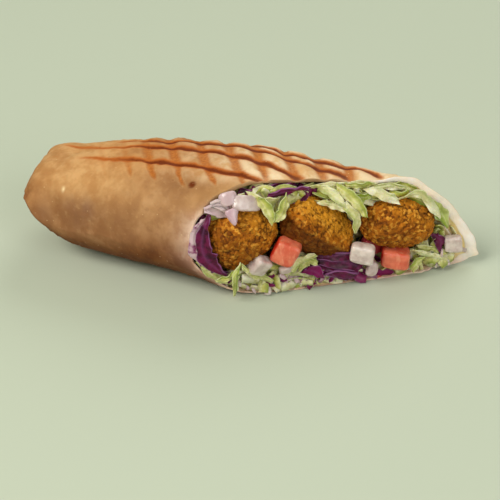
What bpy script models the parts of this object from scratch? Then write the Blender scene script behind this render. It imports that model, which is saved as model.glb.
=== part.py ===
"""A falafel wrap: a grilled flatbread rolled and tucked at one end, cut on a long bias at the other.

The frame has +X along the roll, from the tucked end to the cut tip, and +Z up. The origin is at the middle
of the bounding box, on the flat underside. Lengths here are in millimetres, and every mesh is in metres.
"""

import math

import bmesh
import bpy
import numpy as np
from mathutils import Matrix, Vector

MM = 0.001

# Driving dimensions of the roll, in millimetres.
LENGTH = 212.0
TUCKED_AT = 2.0
HALF_WIDTH = 37.4
HEIGHT = 60.0
WALL = 2.6
LAP_STEP = 1.2
SEAM_ANGLE = math.radians(-38.0)
GAP = 0.4
FLAT = 1.9

# How the section changes along the roll: shares of the full size at the tucked end, and the run in millimetres.
END_HEIGHT_SHARE, HEIGHT_RUN = 0.52, 114.0
END_WIDTH_SHARE, WIDTH_RUN = 0.61, 124.0
END_LIFT, LIFT_RUN = 10.5, 105.0
CUT_START = 110.0
CUT_HEIGHT_LOSS, CUT_WIDTH_LOSS = 0.08, 0.165
CORNER_BACK, CORNER_FRONT = 3.0, 12.0
END_ROUND, END_SWEEP, END_MIDDLE = 6.0, 34.0, 0.62

# Section shape: superellipse exponents, and the height of the widest point as a share of the section's height.
POWER_FRONT, POWER_BACK, POWER_BELOW = 2.75, 1.82, 2.05
WIDEST, WIDEST_SKEW = 0.28, 0.137
SLIM, SLIM_TO = 0.62, 118.0

# The bias cut: its plan angle to the roll, how far its face leans up, and the point on its middle line.
CUT_ANGLE, CUT_LEAN = math.radians(30.0), math.radians(3.3)
CUT_LIP_HEIGHT = 18.0
RIM_DROOP, SHOULDER_LIFT, RIM_REACH = 7.0, 3.0, 7.5
CUT_AT = 157.1

AROUND, ALONG, END_RINGS = 30, 24, 6
FACE_CELLS = (26, 11)

COLOURS = {
    "flatbread": ((0.56, 0.33, 0.16), 0.62),
    "green_cabbage": ((0.50, 0.56, 0.20), 0.45),
    "falafel": ((0.38, 0.17, 0.03), 0.85),
    "tomato": ((0.62, 0.10, 0.05), 0.30),
    "onion": ((0.72, 0.62, 0.60), 0.35),
    "red_cabbage": ((0.14, 0.01, 0.07), 0.40),
}


def clear_scene():
    for found in list(bpy.data.objects):
        bpy.data.objects.remove(found, do_unlink=True)


def collection(name, hidden=False):
    made = bpy.data.collections.new(name)
    made.hide_render = hidden
    bpy.context.scene.collection.children.link(made)
    return made


def material(name):
    colour, roughness = COLOURS[name]
    made = bpy.data.materials.get(name) or bpy.data.materials.new(name)
    made.use_nodes = True
    shader = made.node_tree.nodes["Principled BSDF"]
    shader.inputs["Base Color"].default_value = (*colour, 1.0)
    shader.inputs["Roughness"].default_value = roughness
    shader.inputs["Metallic"].default_value = 0.0
    return made


def smooth_step(t):
    t = np.clip(t, 0.0, 1.0)
    return t * t * (3.0 - 2.0 * t)


# ---- the roll ----


def cut_offset():
    """Distance of the cut plane from the middle of the tucked end, in plan."""
    return CUT_AT * math.sin(CUT_ANGLE)


def skin(x, theta, inset):
    """Points of the roll at station x and angle theta (0 is the back, 90 degrees the top), moved in by inset."""
    cos, sin = np.cos(theta), np.sin(theta)
    towards_cut = smooth_step((x - CUT_START) / (LENGTH - CUT_START))
    grown_height = np.sin(np.pi / 2 * np.clip(x / HEIGHT_RUN, 0.0, 1.0))
    grown_width = np.sin(np.pi / 2 * np.clip(x / WIDTH_RUN, 0.0, 1.0))
    height = HEIGHT * (END_HEIGHT_SHARE + (1.0 - END_HEIGHT_SHARE) * grown_height)
    height = height * (1.0 - CUT_HEIGHT_LOSS * towards_cut)
    half_width = HALF_WIDTH * (END_WIDTH_SHARE + (1.0 - END_WIDTH_SHARE) * grown_width)
    half_width = half_width * (1.0 - CUT_WIDTH_LOSS * towards_cut)

    from_end = np.maximum(x - TUCKED_AT - np.maximum(inset, 0.0), 0.0)
    corner = CORNER_BACK + (CORNER_FRONT - CORNER_BACK) * smooth_step(-2.0 * cos)
    plan = (1.0 - np.clip(1.0 - from_end / corner, 0.0, 1.0) ** 3.2) ** (1.0 / 3.2)

    widest = inset + (height - 2.0 * inset) * (WIDEST - WIDEST_SKEW * cos)
    power = np.where(cos > 0.0, POWER_BACK + (POWER_FRONT - POWER_BACK) * (1.0 - np.abs(cos)), POWER_FRONT)
    y = (half_width - inset) * plan * np.sign(cos) * np.abs(cos) ** (2.0 / power)
    above = widest + (height - inset - widest) * np.abs(sin) ** (2.0 / power)
    slim = 1.0 - smooth_step((x - SLIM_TO + 40.0) / 40.0)
    power_below = POWER_BELOW - SLIM * slim * np.where(cos < 0.0, 1.0, 0.0)
    below = widest - (widest - inset) * np.abs(sin) ** (2.0 / power_below)
    z = np.where(sin > 0.0, above, below)
    middle = END_MIDDLE * height
    reach = np.where(z > middle, END_ROUND, END_SWEEP)
    side = np.sqrt(1.0 - np.clip(1.0 - from_end / reach, 0.0, 1.0) ** 2)
    z = END_LIFT * (1.0 - smooth_step(x / LIFT_RUN)) + middle + (z - middle) * side

    to_cut = cut_offset() + y * math.cos(CUT_ANGLE) - x * math.sin(CUT_ANGLE)
    share = x / LENGTH
    near_rim = np.exp(-np.clip(to_cut, 0.0, None) / RIM_REACH) * np.clip(2.0 * z / HEIGHT - 0.9, 0.0, 1.0)
    droops = smooth_step((share - 0.55) / 0.22) * (1.0 - smooth_step((share - 0.77) / 0.14))
    shoulder = np.exp(-(((share - 0.50) / 0.07) ** 2)) * np.clip(-2.0 * cos, 0.0, 1.0)
    z = z + (SHOULDER_LIFT * shoulder - RIM_DROOP * droops) * near_rim
    z = np.maximum(z - FLAT, np.maximum(inset, 0.0))
    return np.stack(np.broadcast_arrays(x, y, z), axis=-1)


def roll_solid(name, inset, lap, into):
    """A closed loft of the roll from its tucked end to past the cut. With lap, one edge of the bread laps over."""
    start = TUCKED_AT + max(inset, 0.0)
    rounded = 1.4 * END_ROUND * (1.0 - np.cos(np.linspace(0.0, np.pi / 2, END_RINGS + 1)[1:]))
    body = np.linspace(rounded[-1], LENGTH + 14.0, ALONG - END_RINGS + 1)[1:]
    x = start + np.concatenate([rounded, body])[:, None]
    turn = np.linspace(0.0, 1.0, AROUND + (1 if lap else 0), endpoint=lap)[None, :]
    theta = SEAM_ANGLE + 2.0 * np.pi * turn
    step = lap * (1.0 - smooth_step(turn / 0.62)) * smooth_step(x / 30.0)
    step[-1] = 0.0
    rings = skin(x, theta, inset - step)
    pole = skin(np.array([start]), np.array([0.0]), inset)[0]
    far = rings[-1].mean(axis=0)
    count = rings.shape[1]
    shell = bmesh.new()
    start_point = shell.verts.new(Vector(map(float, pole)) * MM)
    loops = [[shell.verts.new(Vector(map(float, p)) * MM) for p in ring] for ring in rings]
    far_point = shell.verts.new(Vector(map(float, far)) * MM)
    for i in range(count):
        j = (i + 1) % count
        shell.faces.new((start_point, loops[0][j], loops[0][i]))
        for near, next_loop in zip(loops, loops[1:]):
            shell.faces.new((near[i], near[j], next_loop[j], next_loop[i]))
        shell.faces.new((loops[-1][i], loops[-1][j], far_point))
    bmesh.ops.remove_doubles(shell, verts=shell.verts, dist=0.02 * MM)
    bmesh.ops.dissolve_degenerate(shell, edges=shell.edges, dist=0.02 * MM)
    return mesh_object(name, shell, into)


def mesh_object(name, shell, into, parent=None):
    """A mesh object from a bmesh in metres, with its normals made to point outwards."""
    bmesh.ops.recalc_face_normals(shell, faces=shell.faces)
    mesh = bpy.data.meshes.new(name)
    shell.to_mesh(mesh)
    shell.free()
    made = bpy.data.objects.new(name, mesh)
    into.objects.link(made)
    made.parent = parent
    return made


def finish_node(node, colour):
    node.data.materials.clear()
    node.data.materials.append(material(colour))
    node.data.shade_smooth()
    node.data.set_sharp_from_angle(angle=math.radians(35.0))


def subtract(node, cutter):
    made = node.modifiers.new("less_" + cutter.name, "BOOLEAN")
    made.operation = "DIFFERENCE"
    made.solver = "EXACT"
    made.object = cutter


# ---- the cut frame: x runs along the cut towards the tip, y up its face, z straight out of it ----


def cut_frame(into):
    out = Vector((math.sin(CUT_ANGLE), -math.cos(CUT_ANGLE), math.tan(CUT_LEAN))).normalized()
    along = Vector((math.cos(CUT_ANGLE), math.sin(CUT_ANGLE), 0.0))
    up = out.cross(along)
    frame = bpy.data.objects.new("cut_frame", None)
    into.objects.link(frame)
    turn = Matrix((along, up, out)).transposed().to_4x4()
    middle = Vector((cut_offset() / math.sin(CUT_ANGLE), 0.0, CUT_LIP_HEIGHT - FLAT)) * MM
    frame.matrix_world = Matrix.Translation(middle) @ turn
    return frame


def bias_cutter(frame, into):
    """Everything in front of the cut plane."""
    size = 400.0 * MM
    shell = bmesh.new()
    bmesh.ops.create_cube(shell, size=size)
    bmesh.ops.translate(shell, verts=shell.verts, vec=(0.0, 0.0, 0.5 * size))
    return mesh_object("bias_cutter", shell, into, frame)


def salad_face_depth(u, v):
    """How far the heap of shreds stays behind the cut plane, with its bumps."""
    bumps = 1.2 * math.sin(0.33 * u + 0.9) * math.cos(0.29 * v + 0.4) + 0.8 * math.sin(0.71 * u - 0.35 * v)
    towards_tip = smooth_step((u - 28.0) / 26.0)
    towards_heel = smooth_step((-u - 60.0) / 12.0)
    return -4.2 + bumps - 7.0 * towards_tip - 3.0 * towards_heel


def face_cutter(frame, into):
    """The space in front of the heap of shreds: its near side is the heap's uneven face."""
    columns, rows = FACE_CELLS
    shell = bmesh.new()
    bmesh.ops.create_grid(shell, x_segments=columns, y_segments=rows, size=1.0)
    for vertex in shell.verts:
        u, v = 91.0 * vertex.co.x - 5.0, 47.0 * vertex.co.y + 13.0
        vertex.co = Vector((u, v, salad_face_depth(u, v))) * MM
    sheet = list(shell.faces)
    raised = bmesh.ops.extrude_face_region(shell, geom=sheet)["geom"]
    for vertex in [g for g in raised if isinstance(g, bmesh.types.BMVert)]:
        vertex.co.z = 120.0 * MM
    return mesh_object("face_cutter", shell, into, frame)


# ---- what shows at the cut ----


def place(made, frame, spot, turns):
    """Puts an object at spot in the cut frame, turned about that frame's x, y and z, in degrees."""
    made.parent = frame
    made.location = Vector(spot) * MM
    made.rotation_euler = [math.radians(a) for a in turns]


def falafel(name, into, radii, seed, grow=0.0):
    """A fried patty: a squashed ball with an uneven crust."""
    shell = bmesh.new()
    if grow:
        bmesh.ops.create_icosphere(shell, subdivisions=3, radius=1.0)
    else:
        bmesh.ops.create_uvsphere(shell, u_segments=22, v_segments=13, radius=1.0)
    for vertex in shell.verts:
        p = vertex.co.normalized()
        wave = math.sin(3.1 * p.x + seed) * math.cos(2.7 * p.y - seed)
        wave += 0.6 * math.sin(6.3 * p.z + 2.0 * p.x + seed)
        fine = math.sin(9.0 * p.x + 2.0 * seed) * math.sin(8.0 * p.y + seed) * math.cos(7.0 * p.z)
        size = 1.0 + 0.035 * wave + 0.02 * fine
        vertex.co = Vector([c * (r + grow) * size * MM for c, r in zip(p, radii)])
    return mesh_object(name, shell, into)


def dice(name, into, size, grow=0.0):
    """A knife-cut cube with slightly soft edges."""
    shell = bmesh.new()
    bmesh.ops.create_cube(shell, size=1.0)
    bmesh.ops.scale(shell, verts=shell.verts, vec=[(side + 2.0 * grow) * MM for side in size])
    made = mesh_object(name, shell, into)
    if not grow:
        bevel = made.modifiers.new("soft_edges", "BEVEL")
        bevel.width = 0.07 * min(size) * MM
        bevel.segments = 1
    return made


def strip(name, into, path, across, width, thick):
    """An open strip two vertices wide along a path, given its thickness by Solidify."""
    ahead = np.gradient(path, axis=0)
    ahead /= np.linalg.norm(ahead, axis=1, keepdims=True)
    across = across - (across * ahead).sum(axis=1, keepdims=True) * ahead
    across /= np.linalg.norm(across, axis=1, keepdims=True)
    shell = bmesh.new()
    edges = []
    for point, side, wide in zip(path, across, width):
        edges.append([shell.verts.new(Vector(point + side * s * wide) * MM) for s in (0.5, -0.5)])
    for (a, b), (c, d) in zip(edges, edges[1:]):
        shell.faces.new((a, b, d, c))
    made = mesh_object(name, shell, into)
    body = made.modifiers.new("thickness", "SOLIDIFY")
    body.thickness = thick * MM
    body.offset = 0.0
    return made


def petal(name, into, size, bend, grow=0.0):
    """A square of onion layer: a slab bent about its middle, bend millimetres high."""
    length, width, thick = size
    t = np.linspace(-1.0, 1.0, 5)
    path = np.stack([t * (0.5 * length + grow), 0.0 * t, bend * (0.5 - t * t)], axis=1)
    wide = (width + 2.0 * grow) * (1.0 - 0.08 * np.abs(t))
    return strip(name, into, path, np.tile([0.0, 1.0, 0.0], (5, 1)), wide, thick + 2.0 * grow)


def curve_through(points, count):
    """A smooth run through hand-set points (Catmull-Rom), sampled count times."""
    p = np.asarray(points, float)
    p = np.vstack([2 * p[0] - p[1], p, 2 * p[-1] - p[-2]])
    s = np.linspace(0.0, len(p) - 3 - 1e-6, count)
    k = s.astype(int)
    f = (s - k)[:, None]
    a, b, c, d = p[k], p[k + 1], p[k + 2], p[k + 3]
    return 0.5 * (2 * b + (c - a) * f + (2 * a - 5 * b + 4 * c - d) * f**2 + (3 * b - a - 3 * c + d) * f**3)


def leaf(name, into, points, width, thick, roll, taper=0.45, grow=0.0):
    """A shred of cabbage leaf: a ribbon along a path, rolled about it from roll[0] to roll[1] degrees."""
    count = 4 * len(points) - 3
    path = curve_through(points, count)
    t = np.linspace(0.0, 1.0, count)
    if grow:
        path[0] += (path[0] - path[1]) / np.linalg.norm(path[0] - path[1]) * grow
        path[-1] += (path[-1] - path[-2]) / np.linalg.norm(path[-1] - path[-2]) * grow
    ahead = np.gradient(path, axis=0)
    ahead /= np.linalg.norm(ahead, axis=1, keepdims=True)
    face = np.tile([0.0, 0.0, 1.0], (count, 1))
    flat = np.cross(face, ahead)
    flat /= np.linalg.norm(flat, axis=1, keepdims=True)
    lift = np.cross(ahead, flat)
    angle = np.radians(roll[0] + (roll[1] - roll[0]) * t)[:, None]
    across = flat * np.cos(angle) + lift * np.sin(angle)
    wide = width * (taper + (1.0 - taper) * np.sin(np.pi * t) ** 0.7) + 2.0 * grow
    return strip(name, into, path, across, wide, thick + 2.0 * grow)


# Spots are (along the cut, up its face, out of it) in millimetres, and turns are in degrees.
FALAFELS = {
    "falafel_1": {"spot": (-49.8, 14.6, -4.0), "turns": (0, 0, 30), "radii": (17.8, 14.6, 13.8), "seed": 0.7},
    "falafel_2": {"spot": (-13.2, 13.4, -3.0), "turns": (-46, 12, -37), "radii": (19.6, 14.2, 11.2), "seed": 2.1},
    "falafel_3": {"spot": (24.2, 11.4, 0.4), "turns": (0, 6, -10), "radii": (17.8, 11.4, 9.8), "seed": 4.4},
}

TOMATOES = {
    "tomato_1": {"spot": (-30.6, 7.8, 7.6), "turns": (12, -22, -24), "size": (11.6, 12.0, 9.0)},
    "tomato_2": {"spot": (23.4, -4.6, 4.4), "turns": (8, -16, -6), "size": (13.6, 9.2, 9.4)},
    "tomato_3": {"spot": (13.8, -0.9, -4.4), "turns": (4, 10, 12), "size": (7.2, 8.2, 6.6)},
}

ONION_DICE = {
    "onion_1": {"spot": (-42.5, 1.5, 5.8), "turns": (16, 24, -34), "size": (9.4, 9.0, 6.2)},
    "onion_2": {"spot": (5.8, 1.9, 8.0), "turns": (6, -14, -13), "size": (11.2, 9.0, 7.0)},
    "onion_3": {"spot": (52.6, -2.4, 2.6), "turns": (0, -10, 4), "size": (7.8, 7.6, 5.2)},
}

ONION_PETALS = {
    "onion_4": {"spot": (-56.0, 30.8, 3.6), "turns": (-30, -8, 12), "size": (8.4, 7.0, 2.6), "bend": 1.0},
    "onion_5": {"spot": (-48.0, 32.2, 5.2), "turns": (-34, 12, -24), "size": (9.6, 7.8, 2.8), "bend": 1.4},
    "onion_6": {"spot": (-57.0, 28.0, 9.4), "turns": (-24, 0, 40), "size": (7.6, 5.4, 2.4), "bend": 0.8},
    "onion_7": {"spot": (11.4, -8.8, 5.4), "turns": (10, 0, 76), "size": (7.6, 5.6, 3.0), "bend": 0.9},
    "onion_8": {"spot": (-30.0, -2.8, 5.2), "turns": (24, 0, 8), "size": (6.4, 4.2, 3.0), "bend": 0.5},
}

RED_LEAVES = {
    "red_cabbage_1": {
        "points": [(-65.0, 24.2, 1.8), (-67.6, 16.0, 2.8), (-67.8, 7.0, 3.4), (-62.4, -0.6, 3.6), (-56.4, -4.4, 4.4)],
        "width": 6.0,
        "thick": 1.9,
        "roll": (50, 20),
    },
    "red_cabbage_2": {
        "points": [(-39.6, 34.6, 1.8), (-30.0, 35.0, 2.8), (-19.8, 36.0, 2.6)],
        "width": 3.8,
        "thick": 1.9,
        "roll": (10, 34),
    },
    "red_cabbage_3": {
        "points": [(-20.8, -9.0, 2.6), (-16.4, -6.2, 4.8), (-13.6, -9.4, 6.2)],
        "width": 5.6,
        "thick": 1.8,
        "roll": (-16, 22),
    },
    "red_cabbage_4": {
        "points": [(44.6, 2.4, 0.2), (45.6, -2.0, 1.2), (44.2, -6.2, 0.8)],
        "width": 4.6,
        "thick": 2.0,
        "roll": (24, -18),
    },
}

GREEN_LEAVES = {
    "green_cabbage_1": {
        "points": [(-42.0, 35.6, 6.6), (-38.2, 31.4, 8.6), (-35.8, 25.2, 10.6)],
        "width": 5.0,
        "thick": 1.2,
        "roll": (30, -6),
    },
    "green_cabbage_8": {
        "points": [(-29.4, 35.2, 7.4), (-31.2, 31.0, 8.2), (-33.4, 26.2, 8.6)],
        "width": 4.8,
        "thick": 1.2,
        "roll": (-24, 4),
    },
    "green_cabbage_2": {
        "points": [(-16.0, 34.8, 3.2), (-4.0, 29.8, 8.6), (5.6, 22.8, 9.4), (6.8, 14.2, 10.2)],
        "width": 6.4,
        "thick": 1.2,
        "roll": (14, -20),
    },
    "green_cabbage_3": {
        "points": [(9.0, 32.2, 3.4), (17.2, 28.6, 7.0), (25.4, 25.6, 8.8)],
        "width": 5.0,
        "thick": 1.4,
        "roll": (-6, 20),
    },
    "green_cabbage_4": {
        "points": [(27.0, 28.6, 5.0), (34.6, 26.6, 5.6), (41.4, 20.2, 4.6), (46.4, 11.4, 2.8)],
        "width": 4.6,
        "thick": 1.2,
        "roll": (12, -12),
    },
    "green_cabbage_5": {
        "points": [(-50.4, 2.2, 11.2), (-53.4, -3.6, 10.4), (-54.8, -9.2, 8.6), (-55.4, -13.4, 5.6)],
        "width": 4.8,
        "thick": 1.1,
        "roll": (-10, 16),
    },
    "green_cabbage_6": {
        "points": [(32.4, -6.6, 6.8), (38.0, -5.4, 4.6), (44.0, -8.2, 2.8)],
        "width": 4.2,
        "thick": 1.2,
        "roll": (10, -14),
    },
    "green_cabbage_7": {
        "points": [(-23.6, 0.2, 8.8), (-19.0, 0.2, 8.0), (-14.4, -0.6, 8.4)],
        "width": 3.8,
        "thick": 1.2,
        "roll": (-8, 14),
    },
}

RED_BUNDLE = {"spot": (-4.2, -8.2, 3.0), "turns": (0, 0, -4), "radii": (10.4, 5.2, 4.4)}

# Where a piece presses into a softer one, the softer one is dented around it.
PRESSED = {
    "tomato_1": ["onion_1"],
    "falafel_1": ["onion_1", "tomato_1", "onion_6", "red_cabbage_1", "green_cabbage_5"],
    "falafel_2": ["tomato_1", "onion_2", "green_cabbage_1", "green_cabbage_8", "green_cabbage_7", "red_cabbage_bundle"],
    "falafel_3": ["tomato_2", "tomato_3", "onion_2", "green_cabbage_3", "green_cabbage_4", "red_cabbage_4"],
    "red_cabbage_bundle": ["onion_2", "onion_7", "red_cabbage_3"],
    "tomato_2": ["onion_7", "green_cabbage_6"],
}


def bundle(name, into, radii, grow=0.0):
    """A tight wad of red cabbage ribbons, as one solid with the folds as ridges."""
    shell = bmesh.new()
    bmesh.ops.create_uvsphere(shell, u_segments=20, v_segments=10, radius=1.0)
    for vertex in shell.verts:
        p = vertex.co.normalized()
        ridge = 0.0 if grow else 0.07 * math.sin(9.0 * p.y + 2.2 * p.x) - 0.05
        square = (abs(p.x) ** 3 + abs(p.y) ** 3 + abs(p.z) ** 3) ** (-1.0 / 3.0)
        size = square * (1.0 + ridge)
        vertex.co = Vector([c * (r + grow) * size * MM for c, r in zip(p, radii)])
    return mesh_object(name, shell, into)


def recipes():
    """Every piece that shows at the cut: name, colour, and a function that makes it, or its pocket when grown."""
    for name, data in FALAFELS.items():
        yield name, "falafel", data, lambda n, into, grow, d=data: falafel(n, into, d["radii"], d["seed"], grow)
    for name, data in TOMATOES.items():
        yield name, "tomato", data, lambda n, into, grow, d=data: dice(n, into, d["size"], grow)
    for name, data in ONION_DICE.items():
        yield name, "onion", data, lambda n, into, grow, d=data: dice(n, into, d["size"], grow)
    for name, data in ONION_PETALS.items():
        yield name, "onion", data, lambda n, into, grow, d=data: petal(n, into, d["size"], d["bend"], grow)
    data = RED_BUNDLE
    yield "red_cabbage_bundle", "red_cabbage", data, lambda n, into, grow, d=data: bundle(n, into, d["radii"], grow)
    for colour, table in (("red_cabbage", RED_LEAVES), ("green_cabbage", GREEN_LEAVES)):
        for name, data in table.items():
            yield name, colour, data, lambda n, into, grow, d=data: leaf(
                n, into, d["points"], d["width"], d["thick"], d["roll"], grow=grow
            )


def reaches_heap(data):
    """Whether a piece is deep enough at the cut to need a pocket in the heap of shreds."""
    if "points" in data:
        lean = max(abs(math.sin(math.radians(a))) for a in data["roll"])
        deepest = min(p[2] for p in data["points"]) - 0.5 * data["width"] * lean - data["thick"]
    else:
        deepest = data["spot"][2] - 0.62 * max(data.get("size") or [2.0 * r for r in data["radii"]])
    return deepest < 0.0


def box_of(nodes):
    """The lowest and highest corner of the finished nodes together, in metres."""
    bpy.context.view_layer.update()
    graph = bpy.context.evaluated_depsgraph_get()
    points = []
    for node in nodes:
        finished = node.evaluated_get(graph)
        mesh = finished.to_mesh()
        flat = np.empty(3 * len(mesh.vertices), np.float32)
        mesh.vertices.foreach_get("co", flat)
        finished.to_mesh_clear()
        world = np.array(finished.matrix_world)
        points.append(flat.reshape(-1, 3) @ world[:3, :3].T + world[:3, 3])
    points = np.concatenate(points)
    return points.min(axis=0), points.max(axis=0)


def build():
    clear_scene()
    parts = collection("falafel_wrap")
    cutters = collection("cutters", hidden=True)
    frame = cut_frame(parts)
    bias = bias_cutter(frame, cutters)

    bread = roll_solid("tortilla", 0.0, LAP_STEP, parts)
    subtract(bread, roll_solid("hollow", WALL, 0.0, cutters))
    subtract(bread, bias)
    finish_node(bread, "flatbread")

    heap = roll_solid("salad", WALL + 2.0 * GAP, 0.0, parts)
    subtract(heap, face_cutter(frame, cutters))
    finish_node(heap, "green_cabbage")

    for name, colour, data, make in recipes():
        spot, turns = data.get("spot", (0, 0, 0)), data.get("turns", (0, 0, 0))
        node = make(name, parts, 0.0)
        place(node, frame, spot, turns)
        finish_node(node, colour)
        pocket = make("pocket_" + name, cutters, GAP if colour != "falafel" else 2.0 * GAP)
        place(pocket, frame, spot, turns)
        if reaches_heap(data):
            subtract(heap, pocket)
    for name, pressing in PRESSED.items():
        for other in pressing:
            subtract(bpy.data.objects[name], bpy.data.objects["pocket_" + other])

    for helper in cutters.objects:
        helper.hide_render = True
        helper.display_type = "WIRE"
    # The roll is modelled from its tucked end, so the whole is moved to put the middle of its box at the origin.
    low, high = box_of([made for made in parts.objects if made.type == "MESH"])
    middle = 0.5 * (low + high)
    shift = Matrix.Translation((-middle[0], -middle[1], 0.0))
    for made in [*parts.objects, *cutters.objects]:
        if made.parent is None:
            made.matrix_world = shift @ made.matrix_world


build()
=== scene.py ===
# A falafel wrap: grilled flatbread rolled round shredded cabbage, onion, tomato and fried patties, cut on a bias.
# Lengths in the dictionaries are in millimetres; the cut frame has u along the cut, v up its face, w out of it.
import math

import bpy
import numpy as np
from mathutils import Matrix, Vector


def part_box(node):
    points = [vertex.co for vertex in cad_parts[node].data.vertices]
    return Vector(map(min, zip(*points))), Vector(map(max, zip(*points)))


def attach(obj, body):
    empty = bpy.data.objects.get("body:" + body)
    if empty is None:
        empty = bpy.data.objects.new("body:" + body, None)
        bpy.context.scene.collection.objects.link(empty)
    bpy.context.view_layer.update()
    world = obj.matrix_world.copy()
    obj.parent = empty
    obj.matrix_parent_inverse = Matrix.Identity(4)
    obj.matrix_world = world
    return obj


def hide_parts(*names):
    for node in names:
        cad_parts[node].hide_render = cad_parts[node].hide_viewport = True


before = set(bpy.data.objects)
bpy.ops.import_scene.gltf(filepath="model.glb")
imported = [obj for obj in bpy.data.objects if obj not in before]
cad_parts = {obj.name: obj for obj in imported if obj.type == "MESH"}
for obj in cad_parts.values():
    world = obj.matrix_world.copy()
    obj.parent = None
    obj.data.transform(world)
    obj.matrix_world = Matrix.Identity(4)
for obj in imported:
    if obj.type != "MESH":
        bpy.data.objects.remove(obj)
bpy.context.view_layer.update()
mm = 0.001


def tint(red, green, blue):
    # a colour picked on a screen, 0 to 255, as linear light
    c = np.array([red, green, blue]) / 255.0
    return (*np.where(c > 0.04045, ((c + 0.055) / 1.055) ** 2.4, c / 12.92), 1.0)


def smoothStep(t):
    # three squares less two cubes, held at 0 below 0 and at 1 above 1
    t = np.clip(t, 0.0, 1.0)
    return t * t * (3.0 - 2.0 * t)


def bell(distance, width):
    # e to the minus square of distance over width
    return np.exp(-((distance / width) ** 2))


def unit(v):
    # arrows brought to a length of 1
    return v / (np.linalg.norm(v, axis=-1, keepdims=True) + 1e-9)


def swell(x, at, run, much):
    # a rise of much about at, which fades over run to either side
    return much * bell(x - at, run)


def plateau(x, rise, riseRun, fall, fallRun):
    # up to 1 from rise on, and back to 0 from fall on
    return smoothStep((x - rise) / riseRun) * (1 - smoothStep((x - fall) / fallRun))


def dome(distance, reach):
    # 1 at a dot, falling as a parabola to 0 at its reach
    return np.clip(1 - (distance / reach) ** 2, 0, 1)


def scatter(cells, seed):
    # one random number from 0 to 1 for each whole-number cell, mixed from its three indices
    c = cells.astype(np.int64)
    h = c[..., 0] * 73856093 ^ c[..., 1] * 19349663 ^ c[..., 2] * 83492791 ^ (seed * 2654435761)
    h = (h ^ (h >> 13)) * 1274126177 & 0x7FFFFFFFFFFF
    h = (h ^ (h >> 16)) * 2246822519 & 0x7FFFFFFFFFFF
    return ((h >> 7) & 0xFFFFFF) / float(0xFFFFFF)


def drift(points, size, seed=1):
    # smooth noise, -1 to 1: random values at lattice corners size apart, blended by a smooth step
    p = points / size
    base = np.floor(p)
    f = p - base
    f = f * f * (3.0 - 2.0 * f)
    total = 0.0
    for corner in np.ndindex(2, 2, 2):
        share = np.prod(np.where(np.array(corner) == 1, f, 1.0 - f), axis=-1)
        total = total + share * scatter(base + np.array(corner), seed)
    return 2.0 * total - 1.0


def layers(points, size, count, seed=1):
    # noise on noise: each layer half the size and half the height of the last
    return sum(drift(points, size / 2.0**k, seed + 7 * k) / 2.0**k for k in range(count)) / 1.6


def pebbles(points, size, seed=1):
    # distance to the nearest and next nearest of scattered dots, one in each cell, as shares of the cell,
    # and a number for the nearest dot
    p = points / size
    base = np.floor(p)
    near = np.full(p.shape[:-1], 9.0)
    second = near.copy()
    label = near.copy()
    for step in np.ndindex(3, 3, 3):
        cell = base + np.array(step) - 1.0
        dot = cell + np.stack([scatter(cell, seed + k) for k in (11, 23, 37)], axis=-1)
        d = np.linalg.norm(p - dot, axis=-1)
        closer = d < near
        second = np.where(closer, near, np.minimum(second, d))
        label = np.where(closer, scatter(cell, seed + 53), label)
        near = np.where(closer, d, near)
    return near, second, label


def addMesh(name, points, faces, marks=None):
    # a mesh object from points in millimetres and a list of faces, with a number at each point for every mark
    mesh = bpy.data.meshes.new(name)
    mesh.from_pydata((points.reshape(-1, 3) * mm).tolist(), [], faces)
    for key, values in (marks or {}).items():
        made = mesh.attributes.new(key, "FLOAT", "POINT")
        made.data.foreach_set("value", np.broadcast_to(values, points.shape[:-1]).astype(np.float32).ravel())
    mesh.shade_smooth()
    made = bpy.data.objects.new(name, mesh)
    bpy.context.scene.collection.objects.link(made)
    return made


def netFaces(rows, columns, closed=False):
    # the four-sided faces of a net of points, its last column joined to its first if closed
    a = np.arange(rows - 1)[:, None] * columns
    c = np.arange(columns if closed else columns - 1)[None, :]
    b, d = a + columns, (c + 1) % columns
    return np.stack([a + c, a + d, b + d, b + c], axis=-1).reshape(-1, 4)


def copies(faces, count, size):
    # the faces of count meshes of size points each, one after another
    return (faces[None] + (np.arange(count) * size)[:, None, None]).reshape(-1, 4)


def cappedTube(net):
    # the points and faces of a net closed round its columns, with a fan of triangles to the middle of each end
    rows, columns = net.shape[:2]
    count = rows * columns
    points = np.concatenate([net.reshape(-1, 3), net[[0, -1]].mean(axis=1)])
    here = np.arange(columns)
    after = (here + 1) % columns
    first = np.stack([0 * here + count, after, here], axis=-1)
    last = np.stack([0 * here + count + 1, here + count - columns, after + count - columns], axis=-1)
    return points, netFaces(rows, columns, True).tolist() + first.tolist() + last.tolist()


def thicken(piece, thick):
    # Solidify, half to either side of the sheet
    body = piece.modifiers.new("thickness", "SOLIDIFY")
    body.thickness, body.offset = thick * mm, 0.0
    return piece


def settle(piece, finish, slot, *nodes):
    # every piece takes its finish, rides on the wrap and stands for its solid
    piece.data.materials.append(finish)
    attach(piece, "root")
    if nodes:
        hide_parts(*nodes)
    return piece


def ballNet(cells):
    # the surface of a cube as six nets of cells by cells, welded where they meet: points from -1 to 1, and faces
    t = np.tan(np.linspace(-1.0, 1.0, cells + 1) * math.pi / 4.0)
    a, b = np.meshgrid(t, t, indexing="ij")
    nets = []
    for axis in range(3):
        for side in (1.0, -1.0):
            p = np.zeros(a.shape + (3,))
            p[..., axis] = side
            p[..., (axis + 1) % 3] = a if side > 0 else b
            p[..., (axis + 2) % 3] = b if side > 0 else a
            nets.append(p.reshape(-1, 3))
    faces = copies(netFaces(cells + 1, cells + 1)[:, ::-1], 6, (cells + 1) ** 2)
    kept, index = np.unique(np.round(np.concatenate(nets), 6), axis=0, return_inverse=True)
    return kept, index.reshape(-1)[faces]


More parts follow.
